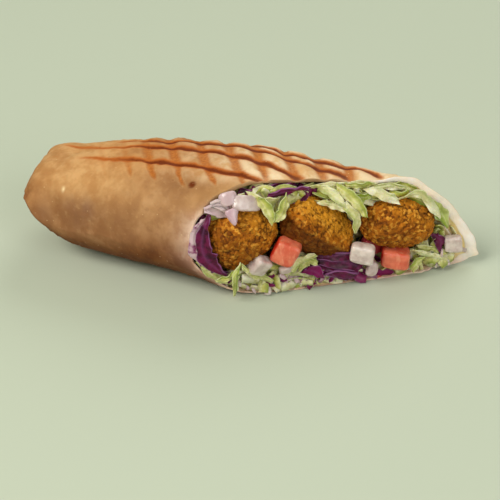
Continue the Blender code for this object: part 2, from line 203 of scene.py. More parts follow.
def softCube(cells, power):
    # a ball net drawn in to a power-sum shape: the higher the power, the nearer to a cube
    cube, faces = ballNet(cells)
    return cube / np.sum(np.abs(cube) ** power, axis=-1, keepdims=True) ** (1 / power), faces


def rowsOf(keys, table):
    # each row of a table as a dictionary with those keys
    return {name: dict(zip(keys.split(), row)) for name, row in table.items()}


def turned(points, turns):
    # points turned about x, then y, then z, in degrees; each turn is one number, or one for each first index
    for axis, angle in enumerate(turns):
        c, s = np.cos(np.radians(angle)), np.sin(np.radians(angle))
        a, b = (axis + 1) % 3, (axis + 2) % 3
        out = points.copy()
        out[..., a] = c * points[..., a] - s * points[..., b]
        out[..., b] = s * points[..., a] + c * points[..., b]
        points = out
    return points


# the roll's shape, its lengths in millimetres and its angles in degrees
roll = {
    "length": 212.0,
    "tuckedAt": 2.0,
    "halfWidth": 37.4,
    "height": 60.0,
    "flat": 1.9,
    "endHeight": 0.52,
    "heightRun": 114.0,
    "endWidth": 0.61,
    "widthRun": 124.0,
    "endLift": 10.5,
    "liftRun": 105.0,
    "cutStart": 110.0,
    "heightLoss": 0.08,
    "widthLoss": 0.165,
    "cornerBack": 3.0,
    "cornerFront": 12.0,
    "cornerPower": 3.2,
    "endRound": 6.0,
    "endSweep": 34.0,
    "endMiddle": 0.62,
    "powers": (2.75, 1.82, 2.05),  # front, back, below
    "widest": (0.28, 0.137),
    "slim": {"less": 0.62, "until": 118.0, "fade": 40.0},  # the front's underside is less full there
    "cutAngle": 30.0,
    "cutLean": 3.3,
    "cutAt": 157.1,
    "lipHeight": 18.0,
    "rimDroop": 7.0,
    "shoulderLift": 3.0,
    "rimReach": 7.5,
    # small eases, each (station, run, rise): the tucked end above and below, the crest, the corner by the cut
    "topRise": (14, 8, 2.2),
    "topDip": (4.5, 3, -2.6),
    "chinRise": (5, 6.5, 6.4),
    "chinDip": (27, 13, -2.6),
    "crestDip": (143, 24, -1.9),
    "cornerOut": (113, 10, -2.4),
    "easeBlend": 14.0,
    # and what holds over a length, each (start, run, end, run), with how much
    "droop": (0.55, 0.22, 0.77, 0.14),
    "farDip": (185, 6, 210, 4),
    "farDipDepth": 2.2,
    "cornerIn": (58, 14, 94, 10),
    "cornerInDepth": 3.0,
}
cutCos, cutSin = math.cos(math.radians(roll["cutAngle"])), math.sin(math.radians(roll["cutAngle"]))


def grown(x, least, run):
    # a quarter sine from least at the tucked end to 1 at run
    return least + (1 - least) * np.sin(np.pi / 2 * np.clip(x / run, 0, 1))


def skin(x, theta, inset):
    # the roll's section at station x is a squashed round with its own power for front, back and underside; it
    # grows as a quarter sine from the tucked end, is rounded off there, and dips and lifts along the cut's lip
    r = roll
    cos, sin = np.cos(theta), np.sin(theta)
    front, back, under = r["powers"]
    towardsCut = smoothStep((x - r["cutStart"]) / (r["length"] - r["cutStart"]))
    height = r["height"] * grown(x, r["endHeight"], r["heightRun"]) * (1 - r["heightLoss"] * towardsCut)
    half = r["halfWidth"] * grown(x, r["endWidth"], r["widthRun"]) * (1 - r["widthLoss"] * towardsCut)
    fromEnd = np.maximum(x - r["tuckedAt"] - np.maximum(inset, 0), 0)
    corner = r["cornerBack"] + (r["cornerFront"] - r["cornerBack"]) * smoothStep(-2 * cos)
    plan = (1 - np.clip(1 - fromEnd / corner, 0, 1) ** r["cornerPower"]) ** (1 / r["cornerPower"])
    widest = inset + (height - 2 * inset) * (r["widest"][0] - r["widest"][1] * cos)
    power = np.where(cos > 0, back + (front - back) * (1 - np.abs(cos)), front)
    y = (half - inset) * plan * np.sign(cos) * np.abs(cos) ** (2 / power)
    above = widest + (height - inset - widest) * np.abs(sin) ** (2 / power)
    slim = 1 - smoothStep((x - r["slim"]["until"] + r["slim"]["fade"]) / r["slim"]["fade"])
    under = under - r["slim"]["less"] * slim * np.where(cos < 0, 1, 0)
    below = widest - (widest - inset) * np.abs(sin) ** (2 / under)
    z = np.where(sin > 0, above, below)
    middle = r["endMiddle"] * height
    reach = np.where(z > middle, r["endRound"], r["endSweep"])
    side = np.sqrt(1 - np.clip(1 - fromEnd / reach, 0, 1) ** 2)
    level = r["endLift"] * (1 - smoothStep(x / r["liftRun"])) + middle
    z = level + (z - middle) * side
    toCut = r["cutAt"] * cutSin + y * cutCos - x * cutSin
    share = x / r["length"]
    nearRim = np.exp(-np.clip(toCut, 0, None) / r["rimReach"]) * np.clip(2 * z / r["height"] - 0.9, 0, 1)
    shoulder = bell(share - 0.50, 0.07) * np.clip(-2 * cos, 0, 1)
    z = z + (r["shoulderLift"] * shoulder - r["rimDroop"] * plateau(share, *r["droop"])) * nearRim
    # small eases: the end slopes more above and below, the far edge dips before the tip, the crest sinks past
    # the middle, and the front's lower corner sits in along the roll and out beside the cut
    started = smoothStep(fromEnd / 3)
    around = (z - level) / r["easeBlend"]
    top = swell(x, *r["topRise"]) + swell(x, *r["topDip"])
    chin = swell(x, *r["chinRise"]) + swell(x, *r["chinDip"])
    z = z + smoothStep(around + 0.5) * started * top + smoothStep(0.5 - around) * started * chin
    z = z - r["farDipDepth"] * plateau(x, *r["farDip"]) * np.clip(1.6 * sin, 0, 1)
    z = z + swell(x, *r["crestDip"]) * smoothStep((y + 2) / 12) * (sin > 0)
    low = smoothStep((17 - z) / 15) * (cos < 0)
    y = y + low * (r["cornerInDepth"] * plateau(x, *r["cornerIn"]) + swell(x, *r["cornerOut"]))
    z = np.maximum(z - r["flat"], np.maximum(inset, 0))
    return np.stack(np.broadcast_arrays(x, y, z), axis=-1)


# The roll is worked out from its tucked end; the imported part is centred, so this is how far it was moved.
sideways = 0.23  # towards the front
moved = np.array([roll["tuckedAt"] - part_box("tortilla")[0].x / mm, sideways, 0.0])
cutOut = np.array([cutSin, -cutCos, math.tan(math.radians(roll["cutLean"]))])
cutOut = cutOut / np.linalg.norm(cutOut)
cutAlong = np.array([cutCos, cutSin, 0.0])
cutUp = np.cross(cutOut, cutAlong)
cutMiddle = np.array([roll["cutAt"], 0.0, roll["lipHeight"] - roll["flat"]]) - moved


def atCut(p):
    # cut-frame points (u, v, w) as points of the part
    p = np.asarray(p, float)
    return cutMiddle + p[..., :1] * cutAlong + p[..., 1:2] * cutUp + p[..., 2:3] * cutOut


def onFloor(p, spare):
    # points of the part, lifted where they would come nearer the floor than spare
    return np.concatenate([p[..., :2], np.maximum(p[..., 2:], spare)], axis=-1)


def inCut(p):
    # points of the part as (u, v, w)
    return np.stack([(p - cutMiddle) @ a for a in (cutAlong, cutUp, cutOut)], axis=-1)


def rimStation(theta, inset, ahead):
    # the station x where the roll's surface meets the plane that far ahead of the cut, by halving an interval
    low, high = np.full(theta.shape, 30.0), np.full(theta.shape, roll["length"] + 30.0)
    for _ in range(40):
        x = 0.5 * (low + high)
        past = inCut(skin(x, theta, inset) - moved)[..., 2] > ahead
        low, high = np.where(past, low, x), np.where(past, x, high)
    return x


def evenTurns(count, start):
    # angles round the roll, evenly spaced along the girth of its middle section, whose chords are added up
    t = start + np.linspace(0, 2 * np.pi, 4001)
    p = skin(np.full(t.shape, 100.0), t, 0.0)
    run = np.concatenate([[0], np.cumsum(np.linalg.norm(np.diff(p, axis=0), axis=1))])
    return np.interp(np.arange(count) / count * run[-1], run, t)


def ringAt(theta, radius=40.0):
    # places round a circle, to read a random field that joins up with itself
    return radius * np.stack([np.cos(theta), np.sin(theta), 0 * theta], axis=-1)


class Value:
    # an output socket; + - and *, with a number or a socket on the other side, add the Math node for the sum
    def __init__(self, tree, socket):
        self.tree, self.socket = tree, socket

    def node(self, kind, settings=None, sockets=None, output=0):
        # any node: its settings first, then a value or a link for each socket, and one of its outputs back
        made = self.tree.nodes.new(kind)
        for key, value in (settings or {}).items():
            setattr(made, key, value)
        for key, value in (sockets or {}).items():
            if isinstance(value, Value):
                self.tree.links.new(value.socket, made.inputs[key])
            else:
                made.inputs[key].default_value = value
        return Value(self.tree, made.outputs[output])

    def reckon(self, operation, a, b, clamp=False):
        return self.node("ShaderNodeMath", {"operation": operation, "use_clamp": clamp}, {0: a, 1: b})

    def __add__(self, other):
        return self.reckon("ADD", self, other)

    def __sub__(self, other):
        return self.reckon("SUBTRACT", self, other)

    def __mul__(self, other):
        return self.reckon("MULTIPLY", self, other)

    def __rsub__(self, other):
        return self.reckon("SUBTRACT", other, self)

    __radd__, __rmul__ = __add__, __mul__

    def clamp(self):
        return self.reckon("ADD", self, 0.0, clamp=True)

    def between(self, low, high):
        # 0 below low, 1 above high and a smooth step in between; high may be the smaller
        settings = {"interpolation_type": "SMOOTHSTEP"}
        return self.node("ShaderNodeMapRange", settings, {"Value": self, "From Min": low, "From Max": high})

    def mix(self, first, second):
        # first where this is 0 and second where it is 1; each is a socket or three numbers for tint
        first, second = (c if isinstance(c, Value) else tint(*c) for c in (first, second))
        return self.node("ShaderNodeMix", {"data_type": "RGBA"}, {0: self, 6: first, 7: second}, output=2)

    def blend(self, low, high, first, second):
        # first below low, second above high
        return self.between(low, high).mix(first, second)


class Finish:
    # a material on a Principled shader, with the pieces that its looks are worked out from
    def __init__(self, name):
        self.material = bpy.data.materials.new(name)
        self.material.use_nodes = True
        self.tree = self.material.node_tree
        self.shader = self.tree.nodes["Principled BSDF"]
        self.root = Value(self.tree, None)
        self.place = self.root.node("ShaderNodeTexCoord", output="Object")

    def mark(self, name):
        return self.root.node("ShaderNodeAttribute", {"attribute_name": name}, output="Fac")

    def noise(self, size, detail=3.0, rough=0.55, warp=0.0, stretch=None):
        # noise whose features are size millimetres across, pulled out along each axis by stretch
        place = self.place
        if stretch:
            sockets = {"Vector": place, "Scale": [1.0 / s for s in stretch]}
            place = self.root.node("ShaderNodeMapping", sockets=sockets)
        sockets = {"Vector": place, "Scale": 1.0 / (size * mm), "Detail": detail}
        sockets.update({"Roughness": rough, "Distortion": warp})
        return self.root.node("ShaderNodeTexNoise", sockets=sockets)

    def cells(self, size):
        # distance to the nearest of dots scattered size millimetres apart
        sockets = {"Vector": self.place, "Scale": 1.0 / (size * mm)}
        return self.root.node("ShaderNodeTexVoronoi", sockets=sockets)

    def bump(self, height, depth):
        # height is 0 to 1 and depth what that stands for, in millimetres
        return self.root.node("ShaderNodeBump", sockets={"Height": height, "Distance": depth * mm})

    def paint(self, colour, *coats):
        # a colour, and coats laid over it in turn, each a mask and its colour
        for mask, over in coats:
            colour = mask.mix(colour, over)
        return colour

    def set(self, soft=None, coat=None, **sockets):
        # feeds the shader: links for what changes over the surface, plain numbers for the rest; soft is the weight,
        # reach by colour and scale of the light inside, coat the weight and roughness of a wet layer
        if soft:
            sockets.update(zip(("Subsurface_Weight", "Subsurface_Radius", "Subsurface_Scale"), soft))
        if coat:
            sockets.update(zip(("Coat_Weight", "Coat_Roughness"), coat))
        for key, value in sockets.items():
            socket = self.shader.inputs[key.replace("_", " ")]
            if isinstance(value, Value):
                self.tree.links.new(value.socket, socket)
            else:
                socket.default_value = value
        return self.material


print("frame and tools ready")

bread = {
    "wall": 1.7,
    "lipWall": 1.1,  # along the top
    "thinWall": 0.8,  # along the left and the lower lip
    "lowerLip": 2.4,  # how far the lower lip reaches out
    "tip": 1.1,  # how far the tip is drawn out
    "ply": {"from": -12.0, "to": 84.0, "inset": 2.7, "back": 2.2, "deep": 15.0, "thick": 1.1},
    "lapStep": 1.2,
    "seamAngle": -38.0,
    "rows": 340,
    "columns": 260,
    "insideRows": 30,
    "lump": 0.75,
    "grooveDepth": 0.45,
    "barDepth": 0.6,
    "puff": 1.05,
    # where the grill's long lines run in plan, and where its cross bars pass the middle one
    "lines": (
        ((-84, -7.4), (-73, -8.5), (-53, -9.9), (-41, -10.9), (-29, -11.4), (-13, -12.8), (-2, -16.0), (3, -15.6),
         (7, -17.3), (15, -18.8)),
        ((-98, 8.6), (-85, 5.2), (-72, 1.9), (-60, 0.8), (-51, 2.4), (-37, 1.9), (-32, 3.0), (-24, 2.0), (-13, 1.6),
         (-7, -0.2), (0, -2.6), (12, -4.0), (18, -6.4), (23, -8.0), (30, -8.6)),
        ((-72, 8.5), (-40, 8.6), (-33, 11.0), (-15, 10.4), (-10, 11.2), (-4, 9.5), (1, 7.4), (6, 7.6), (17, 5.0),
         (26, 3.6), (34, 3.2), (39, 4.0), (49, 4.2)),
        ((-66, 21.0), (-30, 20.0), (-8, 17.5), (8, 13.0), (15, 11.2), (18, 12.0), (33, 12.4), (43, 11.4), (47, 13.8),
         (51, 15.0), (55, 14.0), (62, 12.2)),
        ((-30, 26.5), (-8, 25.5), (14, 23.5), (40, 20.5), (56, 21.5)),
    ),
    "lineWidth": 1.9,
    "bars": (-71.1, -59.2, -48, -35, -20.2, -6.3, 6.7, 22, 36.8, 51.5),
    "barWidth": 2.2,
    "barReach": (-22.0, 29.0),
    "closeRows": (0.14, 0.094),  # the share of rows set closer at the tucked end, and of the length they take
    "pleats": (0.35, 1.35, 2.55, 3.6, 4.6),  # angles round the tucked end, in radians
    "pleatScale": 14.0,
    "fold": {"at": 24.2, "further": 10.0, "nearer": 1.6, "width": 26.0},
    # marks that stand alone, each (middle, reach along x, y and z), and for a stain its strength
    "stains": (
        ((-74.7, -28.7, 31.7), (6, 5, 8), 1.0),
        ((-68.3, -29.3, 34.8), (5, 5, 7), 1.0),
        ((-91.0, -26.0, 28.0), (7, 6, 7), 0.7),
    ),
    "scorch": ((-17.6, -23.0, 52.4), (2.3, 2.2, 2.4)),
    "speck": ((-80.2, -23.8, 41.0), (0.8, 1.2, 1.4)),
}


def grillMarks(p, slope):
    # long lines are bells about a run of plan points, cross bars bells about stations that lean with y; both fade
    # at their ends, and lines narrow in plan where the surface slopes, so that they keep their width on it
    x, y = p[..., 0], p[..., 1]
    wobble = 0.7 * drift(p, 7.0, 3) + 0.4 * drift(p, 2.6, 4)
    lines, glow, bars = np.zeros((3, *x.shape))
    for k, run in enumerate(bread["lines"]):
        runX, runY = np.array(run, float).T
        width = bread["lineWidth"] * (1 + 0.28 * drift(p + 9.0 * k, 9.0, 5))
        width = width * (0.8 + 0.2 * smoothStep((x + 78) / 55))
        width = width * np.where(y > 14, 0.25 + 0.75 * np.clip(slope, 0, 1), 1.0)
        ends = smoothStep((x - runX[0]) / 12.0) * smoothStep((runX[-1] + 3 - x) / 6.0)
        strength = 0.5 + 0.5 * smoothStep((x + 74) / 42.0)
        away = y + wobble - np.interp(x, runX, runY)
        lines = np.maximum(lines, strength * ends * bell(away, width))
        glow = np.maximum(glow, strength * ends * bell(away + 1.2, 2.4 * width))
    lean = np.where(y > 0, -0.46 * y, -0.5 * y) + 0.012 * np.clip(y + 12, None, 0) ** 2
    low, high = bread["barReach"]
    start = y - low - 1.5 * drift(p, 13.0, 6) + 4.0 * smoothStep((x + 50) / 40)
    ends = smoothStep(start / 5) * smoothStep((high - y) / 7.0)
    strength = 0.3 + 0.7 * smoothStep((x + 66) / 36.0)
    width = bread["barWidth"] * (0.55 + 0.45 * smoothStep((y - low) / 10.0)) * (1 + 0.2 * drift(p, 6.0, 8))
    for station in bread["bars"]:
        bars = np.maximum(bars, strength * bell(x - station - lean + wobble, width * (1 + 0.3 * (y > -12))))
    return lines, bars * ends, glow


def breadShell():
    # out along the roll's skin from the tucked end to the cut, over a rounded rim and back inside the wall
    b = bread
    theta = evenTurns(b["columns"], math.radians(b["seamAngle"]))
    turn = np.arange(b["columns"]) / b["columns"]
    ring = ringAt(theta)
    step = b["lapStep"] * (1 - smoothStep(turn / 0.62))
    ragged = 0.7 * drift(ring, 9.0, 12) + 0.35 * drift(ring, 3.0, 13)
    lowest = smoothStep((-np.sin(theta) - 0.25) / 0.5)
    ragged = ragged + b["lowerLip"] * lowest * smoothStep((1.3 - np.abs(theta % (2 * np.pi) - 4.3)) / 0.5)
    ragged = ragged + b["tip"] * bell((theta + np.pi) % (2 * np.pi) - np.pi + 0.02, 0.16)
    atRim = rimStation(theta, -step, ragged - 0.3)
    s = np.linspace(0, 1, b["rows"] + 1)[1:, None]
    near, share = b["closeRows"]
    further = share + (1 - share) * (s - near) / (1 - near)
    run = np.where(s < near, share * (1 - np.cos(0.5 * np.pi * s / near)), further)
    start = roll["tuckedAt"]
    x = start + (atRim - start) * run
    seamWave = 0.02 * np.sin(x / 17.0) + 0.012 * np.sin(x / 7.0 + 1.0)
    angles = theta + seamWave * smoothStep((run - 0.1) / 0.2) * smoothStep((0.95 - run) / 0.1)
    outer = skin(x, angles, -step * smoothStep(x / 30.0)) - moved

    across = 0.5 * (np.roll(outer, -1, axis=1) - np.roll(outer, 1, axis=1))
    normal = unit(np.cross(across, np.gradient(outer, axis=0)))
    p = outer
    px, py, pz = np.moveaxis(p, -1, 0)
    facing = normal[..., 2]
    above = smoothStep(facing / 0.35)
    lines, bars, glow = (above * v for v in grillMarks(p, facing))
    depth = -inCut(p)[..., 2]
    onTop = smoothStep((py + 25) / 9) * smoothStep((34 - py) / 9) * above
    onTop = onTop * smoothStep((px + 82) / 70)
    fromEnd = x - start
    # faint toasted stripes where the roll lay on the griddle
    under = smoothStep((-facing - 0.25) / 0.5)
    stripes = (py + 0.12 * px + 1.2 * drift(p, 12, 71)) % 13.0
    griddle = under * bell(stripes - 6.5, 2.6)

    # folds: the tucked-in side shows as a bent ridge near the end, and the end itself is pleated
    f = b["fold"]
    edge = f["at"] + f["further"] * smoothStep((1.85 - angles) / 0.5) - f["nearer"] * bell(angles - 2.2, 0.35)
    edge = edge + drift(p, 12.0, 21)
    reach = smoothStep((angles - 1.45) / 0.3) * smoothStep((3.0 - angles) / 0.5)
    ply = smoothStep((x - edge + 1) / 5) * smoothStep((edge + f["width"] - x) / 22)
    fold = 0.8 * reach * (bell(x - edge, 2.4) + 0.9 * ply)
    k = b["pleatScale"]
    pleat = sum(
        bell((angles - at + 0.012 * fromEnd) * k, 1.6 + 0.06 * fromEnd)
        - 0.8 * bell((angles - at - 0.1) * k, 1.3)
        for at in b["pleats"]
    ) * smoothStep(fromEnd / 1.2) * smoothStep((22 - fromEnd) / 18)
    # lumps from the filling, faint rolling wrinkles along the roll, and small baked blisters
    lumps = (b["lump"] * layers(p, 21.0, 3, 31) + 0.22 * drift(p, 5.5, 33)) * smoothStep(fromEnd / 14)
    wrinkle = 0.16 * drift(p * np.array([0.35, 1, 1]), 3.6, 41)
    wrinkle = wrinkle + 0.10 * drift(p * np.array([0.5, 1, 1]), 1.7, 42)
    near, _, pick = pebbles(p, 5.2, 51)
    blister = 0.34 * dome(near, 0.12 + 0.24 * pick) * (pick > 0.35)
    near, _, pick = pebbles(p, 2.4, 52)
    blister = blister + 0.13 * dome(near, 0.32) * (pick > 0.5)
    puff = b["puff"] * onTop * (1 - bars) * (1 - lines) * (0.75 + 0.35 * drift(p, 6.0, 61))
    height = puff - b["grooveDepth"] * lines - b["barDepth"] * bars + blister + 0.95 * fold + 0.6 * pleat
    height = height + (lumps + wrinkle) * smoothStep(fromEnd / 6) - 0.25 * griddle
    # the flattened underside stays on the floor
    height = np.where(under > 0.5, np.minimum(height, pz / np.maximum(-facing, 0.2)), height)
    height = height * smoothStep(fromEnd / 3.0)
    outer = outer + normal * height[..., None]
    outer[..., 2] = np.maximum(outer[..., 2], 0.0)

    low = smoothStep((0.35 - np.sin(angles[-1] + 0.5)) / 0.5)  # the lower and left part of the rim
    onLip = smoothStep((np.sin(angles[-1]) - 0.75) / 0.2)
    wall = b["wall"] + (b["thinWall"] - b["wall"]) * low + (b["lipWall"] - b["wall"]) * onLip * (1 - low)
    insideRim = rimStation(theta, wall, ragged - 0.5)
    inside = skin(insideRim, angles[-1], wall) - moved
    middle, half = 0.5 * (outer[-1] + inside), 0.5 * (outer[-1] - inside)
    phi = np.linspace(0, np.pi, 9)[1:-1, None, None]
    rim = middle + half * np.cos(phi) + 0.55 * cutOut * np.sin(phi)
    back = np.linspace(0, 1, b["insideRows"])[:, None] ** 1.6
    xIn = insideRim + (start + b["wall"] + 1.0 - insideRim) * back
    ripple = 0.35 * drift(skin(xIn, angles[-1], wall), 9.0, 81)
    inner = (skin(xIn, angles[-1], wall + (1.5 + ripple) * smoothStep(back / 0.08)) - moved)[:-1]
    points, faces = cappedTube(np.concatenate([outer, rim, inner]))

    def whole(outside, onRim=0.0, within=0.0):
        # a mark at every point, from what it is on the outside, on the rim and inside
        parts = ((outside, outer), (onRim, rim), (within, inner))
        values = np.concatenate([np.broadcast_to(v, net.shape[:2]) for v, net in parts])
        return np.append(values, [0.0, np.mean(within)])

    def spot(at, size):
        # a bell of the distance from its middle, measured in its own reach along each axis
        return bell(np.linalg.norm((p - np.array(at)) / np.array(size), axis=-1), 0.9)

    # soft stains where the filling has soaked through
    soaked = np.max([strength * spot(at, size) for at, size, strength in b["stains"]], axis=0)
    blush = smoothStep((35 - fromEnd) / 30) * (1 - 0.7 * smoothStep((pz - 34) / 12))
    # darker towards the bottom and on faces turned down: partly toasting, partly painted shade
    rise = roll["endLift"] * (1 - smoothStep(x / roll["liftRun"]))
    toastAndShadeLine = 29 + 18 * smoothStep((px + 70) / 42)
    bottom = smoothStep((toastAndShadeLine - pz + rise) / 33) * (1 - 0.35 * smoothStep(py / 20))
    bottom = np.maximum(0.85 * smoothStep(-facing / 0.6), bottom)
    # the rim is pale crumb towards the tip and tan at the other end
    creamy = smoothStep((inCut(outer[-1])[..., 0] + 14) / 34)
    fromRim = np.clip(depth, 0, None)
    # painted light: the left part of the side is lighter and warmer where it faces upwards
    litFacingUp = smoothStep((facing - 0.1) / 0.75) * smoothStep((-px - 20) / 50)
    marks = {
        "toast": whole(lines),
        "scorch": whole(smoothStep(2.2 * spot(*b["scorch"]) - 0.5)),
        "bar": whole(bars),
        "glow": whole(glow),
        "pale": whole(onTop),
        "cream": whole(smoothStep((px + 55) / 75) * above),
        "litFacingUp": whole(litFacingUp),
        "near": whole(np.exp(-fromRim / 9.0) * (1 - low)),
        "inside": whole(0.0, 0.12 + 0.88 * creamy, 1.0),
        "thin": whole(low * np.exp(-fromRim / 2.4), low, 0.7 * low),
        "blush": whole(blush),
        "soaked": whole(soaked),
        "under": whole(bottom),
        "griddle": whole(griddle),
        "speck": whole(spot(*b["speck"])),
        "edge": whole(np.exp(-fromRim / 1.6) * (1 - low) * (0.25 + 0.75 * creamy), 0.1 + 0.9 * creamy),
    }
    made = addMesh("bread", points, faces, marks)
    return made, inside


def innerPly():
    # the inner turn of the bread: a strip of the skin's inside between two angles, its edge wavy and drawn back
    d = bread["ply"]
    theta = np.radians(np.linspace(d["from"], d["to"], 130))[None, :]
    back = np.linspace(0, 1, 26)[:, None]
    ring = ringAt(theta)
    share = (theta - theta.min()) / np.ptp(theta)
    ends = smoothStep(share / 0.12) * smoothStep((1 - share) / 0.12)
    front = rimStation(theta, d["inset"], -d["back"] - 3.0 * (1 - ends) + 0.9 * drift(ring, 8.0, 15))
    x = front - d["deep"] * back
    wave = 0.6 * drift(np.stack(np.broadcast_arrays(0.4 * x, ring[..., 0], ring[..., 1]), axis=-1), 7.0, 16)
    p = skin(x, theta, d["inset"] + wave + 0.7 * back) - moved
    marks = {"inside": 1.0, "edge": 1 - smoothStep(back / 0.08)}
    return thicken(addMesh("bread_inner_turn", p, netFaces(*p.shape[:2]).tolist(), marks), d["thick"])


def breadFinish():
    f = Finish("breadFinish")
    cloud = f.noise(24, 3, 0.55, stretch=(1.0, 1.0, 1.9))
    mottle = f.noise(9, 3, 0.6, warp=0.12, stretch=(1.0, 1.0, 1.4))
    grain, fine, dapple = f.noise(1.3, 3, 0.6), f.noise(0.45, 2, 0.5), f.noise(4.2, 3, 0.55)
    under = (f.mark("under") * (0.88 + 0.22 * mottle)).clamp()
    bar = (f.mark("bar") * (0.6 + 0.3 * mottle + 0.4 * dapple)).clamp()
    toast = (f.mark("toast") * (0.7 + 0.35 * grain + 0.3 * dapple)).clamp()
    freckle = f.cells(4.6).between(0.16, 0.08) * f.noise(9, 2).between(0.5, 0.62)
    flour = f.cells(3.1).between(0.14, 0.06) * f.noise(11, 2).between(0.48, 0.6)
    pale = f.mark("pale") * (0.7 + 0.3 * cloud)
    crumb = mottle.blend(0.35, 0.65, (255, 232, 176), (252, 220, 156))
    rimCrumb = mottle.blend(0.35, 0.65, (255, 243, 236), (255, 234, 212))
    colour = f.paint(
        cloud.blend(0.34, 0.66, (148, 100, 62), (178, 130, 86)),
        (mottle.between(0.48, 0.72) * 0.42, (206, 160, 116)),
        (mottle.between(0.5, 0.3) * 0.36, (140, 94, 62)),
        (dapple.between(0.55, 0.7) * 0.3, (206, 160, 110)),
        (dapple.between(0.44, 0.3) * 0.3, (134, 90, 60)),
        # painted light on the upward-facing left part of the side
        (f.mark("litFacingUp") * 0.66, mottle.blend(0.35, 0.62, (212, 154, 92), (236, 184, 122))),
        (f.mark("near") * 0.4, (226, 172, 106)),
        (f.mark("blush") * 0.75, mottle.blend(0.35, 0.65, (146, 90, 48), (176, 120, 70))),
        # painted shade with toasting: darker towards the underside and on faces turned down
        (under.between(0.0, 0.55) * 0.45, mottle.blend(0.38, 0.62, (138, 90, 58), (162, 112, 74))),
        (under.between(0.42, 1.0) * 0.9, mottle.blend(0.38, 0.62, (98, 50, 20), (124, 72, 34))),
        (f.mark("griddle") * 0.3 * mottle.between(0.35, 0.6), (70, 34, 14)),
        (pale * 0.85, mottle.blend(0.34, 0.62, (166, 102, 48), (198, 138, 76))),
        (f.mark("pale") * f.mark("cream") * 0.9, mottle.blend(0.3, 0.6, (230, 182, 124), (255, 234, 196))),
        (f.mark("soaked") * 0.5 * mottle.between(0.3, 0.6), (122, 84, 70)),
        (f.mark("glow") * 0.36 * mottle.between(0.2, 0.5), (218, 142, 72)),
        # cross bars toast to orange with a pale border, long lines to dark brown with an orange fringe
        (bar.between(0.0, 0.16) * bar.between(0.4, 0.2) * 0.1, (242, 196, 134)),
        (bar.between(0.06, 0.8) * 0.88, grain.blend(0.35, 0.65, (176, 96, 32), (198, 118, 46))),
        (toast.between(0.04, 0.55) * 0.95, (190, 102, 36)),
        (toast.between(0.4, 0.95), (118, 48, 8)),
        (f.mark("scorch"), (112, 50, 14)),
        # sparse freckles, brown and floury
        (freckle * 0.4, (140, 84, 42)),
        ((flour * 0.3 + f.mark("speck") * 0.9).clamp(), (250, 222, 170)),
        # the cut edge is pale crumb, the inside yellower, and the lower lip pinkish and damp
        (f.mark("edge") * 0.4, (244, 218, 172)),
        (f.mark("inside"), f.mark("edge").mix(crumb, rimCrumb)),
        (f.mark("thin") * 0.75, mottle.blend(0.4, 0.6, (206, 156, 138), (244, 210, 190))),
    )
    return f.set(
        Base_Color=colour,
        Roughness=0.8 - 0.14 * toast - 0.05 * mottle,
        Normal=f.bump(f.noise(2.6, 4, 0.62) * 0.6 + grain * 0.3 + fine * 0.1, 0.34),
        Specular_IOR_Level=0.14,
        soft=(0.08, (1.0, 0.5, 0.3), 0.001),
    )


breadPiece, insideLine = breadShell()
flatbread = breadFinish()
settle(breadPiece, flatbread, "flatbread", "tortilla")
settle(innerPly(), flatbread, "flatbread")
print("bread:", len(breadPiece.data.polygons), "faces")

patties = {
    # side is how strong each patty's side turned from the light is, in its shape and in its painted shade and
    # highlight
    "pieces": rowsOf("spot turns radii power seed side", {
        "falafel_1": ((-49.8, 14.6, -4.0), (0, 0, 30), (17.8, 14.4, 13.6), 2.25, 3, 0.5),
        "falafel_2": ((-13.2, 13.4, -3.0), (-46, 12, -37), (19.4, 13.2, 10.2), 3.0, 9, 1.0),
        "falafel_3": ((24.8, 11.9, 0.4), (0, 6, -12), (18.2, 11.8, 9.8), 2.4, 14, 0.35),
    }),
    "cells": 74,
    "crumb": 2.1,
    "crumbHeight": 1.0,
    "craggy": 0.8,
    "awayFromLight": (-0.60, -0.80, 0.12),  # the way the darker side faces, in the cut frame
}


def atSpot(points, spot, turns):
    # a piece's own points, turned and then set at its spot in the cut frame
    return atCut(turned(points, turns) + np.array(spot, float))


def pattyShape(data):
    # a squashed ball with flattened faces; crumbs are domes round scattered dots, with clefts where two meet
    way, faces = ballNet(patties["cells"])
    way = way / np.linalg.norm(way, axis=-1, keepdims=True)
    radii, seed = np.array(data["radii"]), data["seed"]
    size = np.sum(np.abs(way) ** data["power"], axis=-1, keepdims=True) ** (-1 / data["power"])
    p = way * size * radii
    big = patties["craggy"] * (layers(p, 11.0, 3, seed) + 0.5 * layers(p, 4.2, 2, seed + 1))
    near, second, pick = pebbles(p + 0.5 * drift(p, 1.6, seed)[:, None], patties["crumb"], seed)
    near2, _, pick2 = pebbles(p, 0.62 * patties["crumb"], seed + 5)
    large, small = dome(near, 0.8) * (0.45 + 0.55 * pick), dome(near2, 0.8) * (0.4 + 0.6 * pick2)
    cleft = bell(second - near, 0.16) * (0.4 + 0.6 * drift(p, 3.5, seed + 9))
    crumbs = patties["crumbHeight"] * (0.75 * large + 0.42 * small - 0.3 * cleft)
    height = big + crumbs - 0.35 + 0.12 * drift(p, 0.7, seed + 3)
    # the side turned down and left, away from the light, is darker by painted shade, with a raised rim where it
    # meets the lit face
    away = turned(way, data["turns"]) @ np.array(patties["awayFromLight"])
    hollow = smoothStep((away - 0.06) / 0.2) * smoothStep((0.9 - away) / 0.5)
    height = height + smoothStep(data["side"] * 2 - 1) * (swell(away, 0.02, 0.11, 0.9) - 0.8 * hollow)
    out = way / radii
    out = out / np.linalg.norm(out, axis=-1, keepdims=True)
    p = p + out * height[:, None]
    # painted shade: darker in the clefts and hollows between crumbs
    deep = np.clip(0.5 - 0.55 * large - 0.3 * small + 0.5 * cleft - 0.25 * big, 0, 1)
    # painted shade on the side turned from the light, and a painted highlight on the face turned towards it
    side = data["side"] * smoothStep((away + 0.12) / 0.3)
    lit = data["side"] * smoothStep((-away - 0.1) / 0.5)
    return p, faces, {"deep": deep, "grain": pick, "grain2": pick2, "side": side, "lit": lit}


